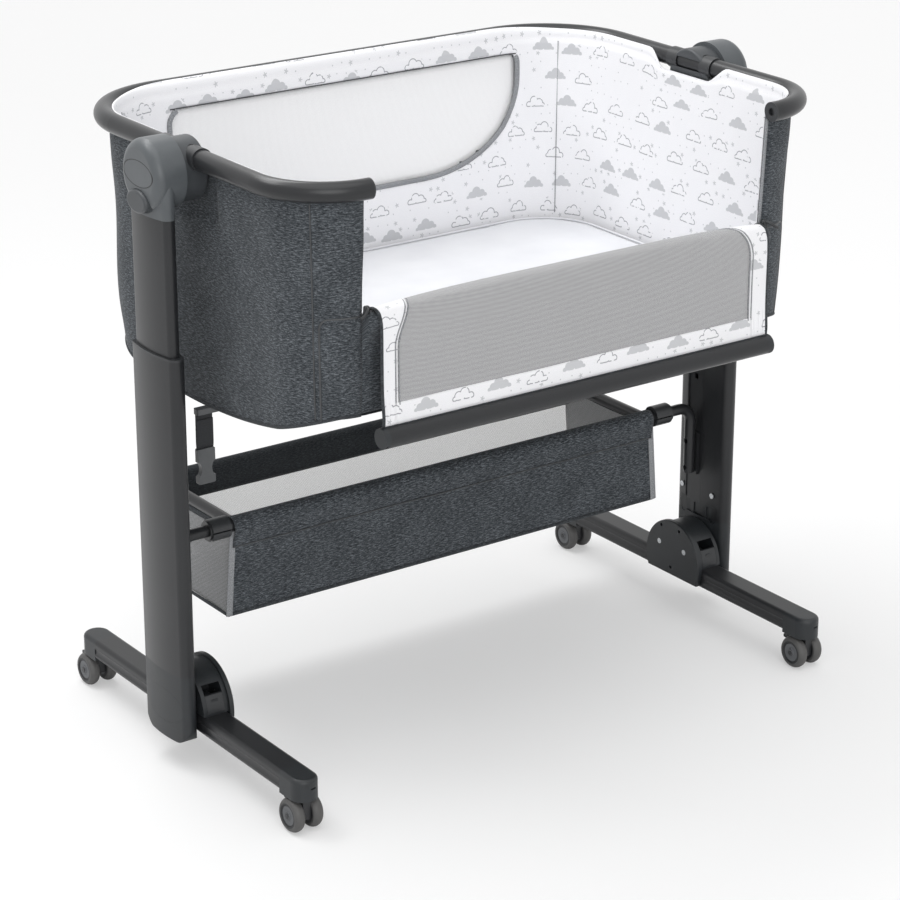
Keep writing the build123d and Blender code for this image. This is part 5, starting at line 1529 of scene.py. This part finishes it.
# %% Swollen mattress
moved = blow_up(mattress_pad, 5.0, PAD_SWELL)
x, y, z = (moved / MM).T
top = ease(z, PAD_LOW + 6, PAD_HIGH - 2)
far_x, far_y = PAD_HALF_X - np.abs(x), PAD_HALF_Y - np.abs(y - PAD_MIDDLE_Y)
edge_far = np.minimum(ease(far_x, 0, 70), ease(far_y, 0, 70))
z = z + top * (1.1 * edge_far + 0.5 * softness(x, y, 160.0, 3) * edge_far)
z = np.clip(z, PAD_LOW - 0.4, PAD_HIGH + 3.4)
mattress_pad.data.vertices.foreach_set("co", (np.stack([x, y, z], -1) * MM).ravel())
measure(mattress_pad.data, np.stack([x, y], -1) * MM)
mattress_pad.data.polygons.foreach_set("use_smooth", [True] * len(mattress_pad.data.polygons))
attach(mattress_pad, "cradle")
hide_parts("mattress")
print("mattress of", len(mattress_pad.data.vertices), "points")

# %% Piping of the mattress
edge_line = outline + unit(centre - outline) * 3.2
edge_line = even_steps(np.vstack([edge_line, edge_line[:1]]), 6.0)[:-1]
edge_line = spread(*edge_line.T, PAD_HIGH + 0.4)
cord = ring_section(1.5, 8)
pad_piping = swept(
    "mattress_piping", edge_line, cord, (0, 0, 1), "cradle", sheet_cotton, closed=True
)
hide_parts("mattress")
print("piping", round(float(walked(edge_line)[-1])), "mm long")

# %% [markdown]
# ## The storage basket
# The basket's front hangs from the bar between the posts, wrapped right round it. Its
# back is pale net below a dark sleeve on the hoop. The ends are net too, the front has
# a pale liner inside, and the floor sags a little below the ends.

# %% Measures and falls of the basket
BAG_TOP_HALF, BAG_LOW_HALF, BAG_RIM, SLEEVE_LOW = 351.0, 360.0, 296.0, 279.0
BAG_FRONT, BAG_BACK, BAG_COLUMNS = 8.5, 204.5, 121
BAND_Y, BACK_EDGE_Y, SOLE_Y = 5.2, 205.0, 8.2
BAG_CUT_LONG, BAG_CUT_DEEP = 718.0, BAG_BACK - BAG_FRONT


def basket_half(z):
    """Half length of the basket at a height."""
    return np.interp(z, (BAG_FLOOR, BAG_RIM), (BAG_LOW_HALF, BAG_TOP_HALF))


FRONT_FALL = (
    (22.3, 299.0),
    (22.6, 306.0),
    (19.2, 314.0),
    (11.0, 317.2),
    (3.0, 314.2),
    (-0.6, 306.0),
    (0.2, 297.0),
    (3.6, 286.0),
    (5.8, 262.0),
    (6.6, 230.0),
    (7.4, 205.0),
    (8.6, 181.0),
)
BACK_FALL = (
    (197.6, 272.0),
    (194.4, 286.0),
    (192.2, 298.0),
    (192.8, 306.0),
    (196.0, 313.2),
    (203.0, 315.8),
    (210.0, 313.2),
    (212.4, 306.0),
    (210.0, 297.0),
    (206.4, 286.0),
    (205.6, 272.0),
)
print("front falls over", len(FRONT_FALL), "points, back over", len(BACK_FALL))

# %% Makers for the basket
basket = {}


def bag_panel(name, grid, cloth, thick, finish):
    """Panel of the basket."""
    basket[name] = panel(name, grid, thick, cloth, "stand", finish)


def bag_cord(name, path, section, out, finish=trim_melange):
    """Cord, band or seam of the basket."""
    basket[name] = swept(name, path, section, out, "stand", finish)


def fall_grid(knots, wave, seed, sleeve=0.0):
    """Grid of a panel that hangs as a section, as long as the basket; a sleeve is proud."""
    line = even_steps(curve_through(knots, 200), 4.0)
    line_y, line_z = line.T[:, None]
    x = np.linspace(-1, 1, BAG_COLUMNS)[:, None] * basket_half(line_z)
    hanging = ease(300 - line_z, 4, 40) * ease(line_z, BAG_FLOOR + 2, BAG_FLOOR + 24)
    y = line_y + wave * softness(x, line_z, 120.0, seed) * hanging
    y = y - sleeve * ease(line_z, SLEEVE_LOW - 1, SLEEVE_LOW + 1.5)
    return spread(x, y, line_z), spread(x, walked(line)[None])


print("basket makers ready")

# %% Front and back of the basket
grid, cloth = fall_grid(FRONT_FALL, 2.2, 41, 0.9)
FRONT_LONG = float(cloth[..., 1].max())
bag_panel("basket_front", grid, cloth, 1.8, body_melange)
# The dark line under the bar's sleeve is partly its stitching and partly painted shade of the fold
# below the sleeve.
off_row = np.abs(grid[0, :, 2] - SLEEVE_LOW) + 99.0 * (grid[0, :, 1] > 14)
stitch_line = grid[:, int(np.argmin(off_row))] - (0, 1.5, 0)
bag_cord("basket_bar_stitch_and_fold_shade", stitch_line, ring_section(1.1, 8), (0, -1, 0.02), stitch_and_painted_shade)
grid, cloth = fall_grid(BACK_FALL, 0.6, 43)
BACK_LONG = float(cloth[..., 1].max())
bag_panel("basket_back", grid, cloth, 1.6, trim_melange)
print("front", round(FRONT_LONG, 1), "mm, back", round(BACK_LONG, 1), "mm")

# %% Liner of the basket
def liner_panel(name, y, seed, finish):
    """Pale cloth just inside the front, or pale net that closes the back of the basket."""
    z = np.linspace(BAG_FLOOR + 2.5, BAG_RIM, 26)[None]
    x = np.linspace(-1, 1, BAG_COLUMNS)[:, None] * (basket_half(z) - 1.5)
    sway = ease(z, BAG_FLOOR, BAG_FLOOR + 30) * ease(290 - z, 0, 40)
    sway = 1.4 * softness(x, z, 110.0, seed) * sway
    bag_panel(name, spread(x, y + sway, z), spread(x, z), 1.0, finish)


liner_panel("basket_liner_back", 202.0, 51, liner_net)
liner_panel("basket_liner_front", 12.4, 53, liner_cotton)
print("liner hung")

# %% Floor of the basket
along = np.linspace(-1, 1, 110)[:, None]
y = np.linspace(9.0, 204.0, 34)[None]
x = along * (BAG_LOW_HALF - 1.0)
sag = 1.2 * (1 - along**6) * np.sin(pi * (y - 9) / 195.0)
grid = spread(x, y, BAG_FLOOR + 2.6 - sag)
bag_panel("basket_floor", grid, spread(x, y), 1.0, liner_cotton)
bag_panel("basket_underside", grid - (0, 0, 1.5), spread(x, y), 1.2, trim_melange)
print("floor sags", round(float(sag.max()), 1), "mm")

# %% Ends of the basket
for side, word in SIDES:
    z = np.linspace(BAG_FLOOR + 1.5, 300.0, 27)
    y = np.linspace(BAG_FRONT, BAG_BACK, 34)[:, None]
    bow = np.sin(pi * (y - BAG_FRONT) / (BAG_BACK - BAG_FRONT))
    out = basket_half(z)[None] - 0.4 - 2.2 * bow * ease(300 - z, 0, 60)[None]
    droop = 4.5 * bow * ease(z, 240, 300)[None]
    grid = spread(side * out, y, z[None] - droop)
    bag_panel("basket_net_" + word, grid, spread(y, z[None]), 0.9, basket_net)
    band = ring_section(4.5, 10, 0.35)
    bag_cord("basket_end_band_" + word, grid[:, -1] + (0, 0, 0.6), band, (side, 0, 0.02))
    edge = spread(side * basket_half(z), BAND_Y, z)
    tape = ring_section(5.0, 10, 0.22)
    bag_cord("basket_edge_front_" + word, edge, tape, (0, -1, 0), grey_tape)
    edge = spread(side * basket_half(z), BACK_EDGE_Y, z)
    bag_cord("basket_edge_back_" + word, edge, ring_section(2.0, 8), (0, -1, 0))
    sole = spread(side * BAG_LOW_HALF, y[:, 0], BAG_FLOOR + 1.8)
    bag_cord("basket_sole_" + word, sole, ring_section(2.2, 8), (0, 0, 1))
print("two net ends")

# %% Hems of the basket
sole = spread(np.linspace(-BAG_LOW_HALF, BAG_LOW_HALF, 100), SOLE_Y, BAG_FLOOR + 2.2)
bag_cord("basket_sole_front", sole, ring_section(2.8, 12), (0, 0, 1))
sole = sole + (0, HOOP_Y + 1.8 - SOLE_Y, 0)
bag_cord("basket_sole_back", sole, ring_section(2.2, 8), (0, 0, 1))
stitch_line = spread(np.linspace(-BAG_TOP_HALF + 2, BAG_TOP_HALF - 2, 100), 196.6, 275.0)
bag_cord("basket_hoop_stitch", stitch_line, ring_section(0.7, 8), (0, -1, 0.02), stitch_and_painted_shade)
for piece in basket.values():
    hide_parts("basket_bag")
print(len(basket), "pieces in the basket")

# %% [markdown]
# ## Anchor straps
# Short black webbing that hangs under each end of the basin and holds half a buckle.

# %% Anchor straps
STRAP_HALF = 397.0
DOWN = ((-8.3, 477.6), (-8.2, 462.0), (-8.1, 447.0), (-8.3, 436.0), (-9.0, 430.6))
TAIL = ((-9.7, 470.0), (-9.8, 458.0), (-9.9, 447.0), (-9.7, 436.0), (-9.2, 431.4))
half = np.array([(-12.4, -0.5), (-12.0, -0.7), (12.0, -0.7), (12.4, -0.5)])
webbing = np.vstack([half, -half])
for side, word in SIDES:
    for name, line in (("anchor_strap_", DOWN), ("anchor_strap_tail_", TAIL)):
        path = curve_through(spread(side * STRAP_HALF, *np.transpose(line)), 40)
        strap = swept(
            name + word, path, webbing, (0, 1, 0), "cradle", black_webbing
        )
        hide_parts("anchor_straps")
print("anchor straps made")

# %% [markdown]
# ## Flat cuts of the sheets
# Every sheet of cloth is listed with the size that it was cut to.


def cut(piece, wide, long, held, rests, share=1.0, going=()):
    """Takes a sheet cut wide by long millimetres, share of that rectangle kept, and does nothing
    with it; wide, long and share are not used.
    """
    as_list(rests)
    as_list(going)


cloth_long = LINING_HIGH + 16 - LINING_LOW
cut(lining, 2 * EDGE_WALK, cloth_long, "hung", [basin_wall, "rim_tube"], 0.8, [window_tape])
left, right, low, high = WINDOW
net_wide, net_long = right - left + 2 * NET_SEAM, high - low + 2 * NET_SEAM
cut(window_net, net_wide, net_long, "stretched", [lining], 1.0)
cut(front_lining, 2 * OPEN_HALF, 143.0, "hung", [front_wall])
cut(floor_cloth, 790.0, 530.0, "stretched", [basin_wall], 0.9)
cut(net_piece, 568.0, HEM_UP - 6.0, "hung", [front_wall], 0.96, net_seams)
cut(border_left, 47.0, FLAP_LONG, "hung", [front_wall], 0.6, bindings[:1])
cut(border_right, 95.0, FLAP_LONG, "hung", [front_wall], 0.44, bindings[1:])
cut(border_low, 569.0, FLAP_LONG - HEM_UP + 3, "hung", ["drop_rail"])
cut(border_top, 479.0, 10.0, "stretched", [front_wall], 0.8)

# %% Sheets of the basket
def bag_cut(name, wide, long, held, rests, share=1.0, going=()):
    """Passes a sheet of the basket to cut, with the names of what is sewn to it."""
    sewn = [basket["basket_" + word] for word in going]
    cut(basket["basket_" + name], wide, long, held, [rests], share, sewn)


frame_node = "basket_frame"
bag_cut("front", 722.0, FRONT_LONG, "hung", frame_node, 0.98, ["sole_front", "bar_stitch_and_fold_shade"])
bag_cut("back", 702.0, BACK_LONG, "hung", frame_node, 1.0, ["hoop_stitch"])
bag_cut("liner_back", BAG_CUT_LONG, 115.0, "hung", frame_node, 0.98, ["sole_back"])
bag_cut("liner_front", BAG_CUT_LONG, 115.0, "hung", frame_node, 0.98)
bag_cut("floor", BAG_CUT_LONG, BAG_CUT_DEEP, "laid", "basket_underside")
bag_cut("underside", BAG_CUT_LONG, BAG_CUT_DEEP, "stretched", "basket_front")
for _, word in SIDES:
    band = ["end_band_" + word]
    bag_cut("net_" + word, BAG_CUT_DEEP, 121.0, "stretched", frame_node, 1.0, band)

# %% [markdown]
# ## Floor, light and camera
# A plain pale floor, soft light from above and in front, and the camera. The
# background is shown white to the camera alone; the light that falls on the crib is
# weaker, so that white cloth keeps its shape.

# %% Floor
WHITE_SHARE, REACH = 0.36, 30.0
corners = [(-REACH, -REACH, 0), (REACH, -REACH, 0), (REACH, REACH, 0), (-REACH, REACH, 0)]
floor_mesh = bpy.data.meshes.new("floor")
floor_mesh.from_pydata(corners, [], [(0, 1, 2, 3)])
floor = bpy.data.objects.new("floor", floor_mesh)
bpy.context.scene.collection.objects.link(floor)
floor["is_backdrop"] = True
floor_finish, tree, shader = start_finish("pale_floor", 0.95, gloss=0.1)
shader.inputs["Base Color"].default_value = (0.95, 0.95, 0.952, 1)
glow = add(tree, "Emission", [("Strength", 1.0)])
seen_by = add(tree, "LightPath").outputs
share = times(tree, seen_by["Is Camera Ray"], WHITE_SHARE)
both = add(tree, "MixShader", [(0, share), (1, shader.outputs[0]), (2, glow.outputs[0])])
tree.links.new(both.outputs[0], tree.nodes["Material Output"].inputs["Surface"])
floor_mesh.materials.append(floor_finish)
print("floor laid")

# %% World and lights
world = bpy.data.worlds.new("studio")
bpy.context.scene.world = world
world.use_nodes = True
tree = world.node_tree
tree.nodes.clear()
seen_by = add(tree, "LightPath").outputs
mirrored = step(tree, "MAXIMUM", seen_by["Is Glossy Ray"], seen_by["Is Transmission Ray"])
seen = step(tree, "MAXIMUM", seen_by["Is Camera Ray"], mirrored)
WHITE = (1, 1, 1, 1)
soft = add(tree, "Background", [("Color", WHITE), ("Strength", 0.56)]).outputs[0]
plain = add(tree, "Background", [("Color", WHITE), ("Strength", 1.0)]).outputs[0]
pick = add(tree, "MixShader", [(0, seen), (1, soft), (2, plain)])
add(tree, "OutputWorld", [(0, pick.outputs[0])])


def hang_lamp(name, light, way):
    """Lamp whose light comes from the way given."""
    lamp = bpy.data.objects.new(name, light)
    bpy.context.scene.collection.objects.link(lamp)
    lamp.rotation_euler = mathutils.Vector(way).to_track_quat("Z", "Y").to_euler()
    return lamp


def soft_light(name, place_at, aim_at, wide, tall, power):
    """Area light that looks at a point."""
    light = bpy.data.lights.new(name, "AREA")
    light.shape = "RECTANGLE"
    light.size, light.size_y, light.energy = wide, tall, power
    back = mathutils.Vector(place_at) - mathutils.Vector(aim_at)
    hang_lamp(name, light, back).location = place_at


def soft_sun(name, way, strength, angle):
    """Even light from far away; way points from the crib to it, angle in degrees."""
    light = bpy.data.lights.new(name, "SUN")
    light.energy, light.angle = strength, radians(angle)
    hang_lamp(name, light, way)


soft_sun("overhead", (-0.1, -0.12, 1.0), 0.98, 60)
soft_sun("front", (-0.5, -1.0, 0.42), 0.85, 40)
soft_light("strip", (-0.6, 0.9, 2.2), (-0.2, -0.2, 0.8), 2.0, 0.5, 20)
print("world and", len(bpy.data.lights), "lights")

# %% [markdown]
# ## Camera
# A long lens from a little above the rim keeps the crib's proportions true.

# %% Camera
camera = bpy.data.cameras.new("view")
camera.lens, camera.sensor_width = 116.0, 36.0
camera.clip_end = 200
eye = bpy.data.objects.new("view", camera)
bpy.context.scene.collection.objects.link(eye)
eye.location = (-2.1493, -3.0156, 1.7510)
eye.rotation_euler = (radians(90 - 20.9), 0, radians(-35.4))
bpy.context.scene.camera = eye
bpy.context.scene.view_settings.view_transform = "Standard"
print("camera set")

# %% [markdown]
# ## Sizes
# The dressed crib is meant to fill the same box as the CAD model; its bounds are found here.

# %% Sizes
low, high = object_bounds()
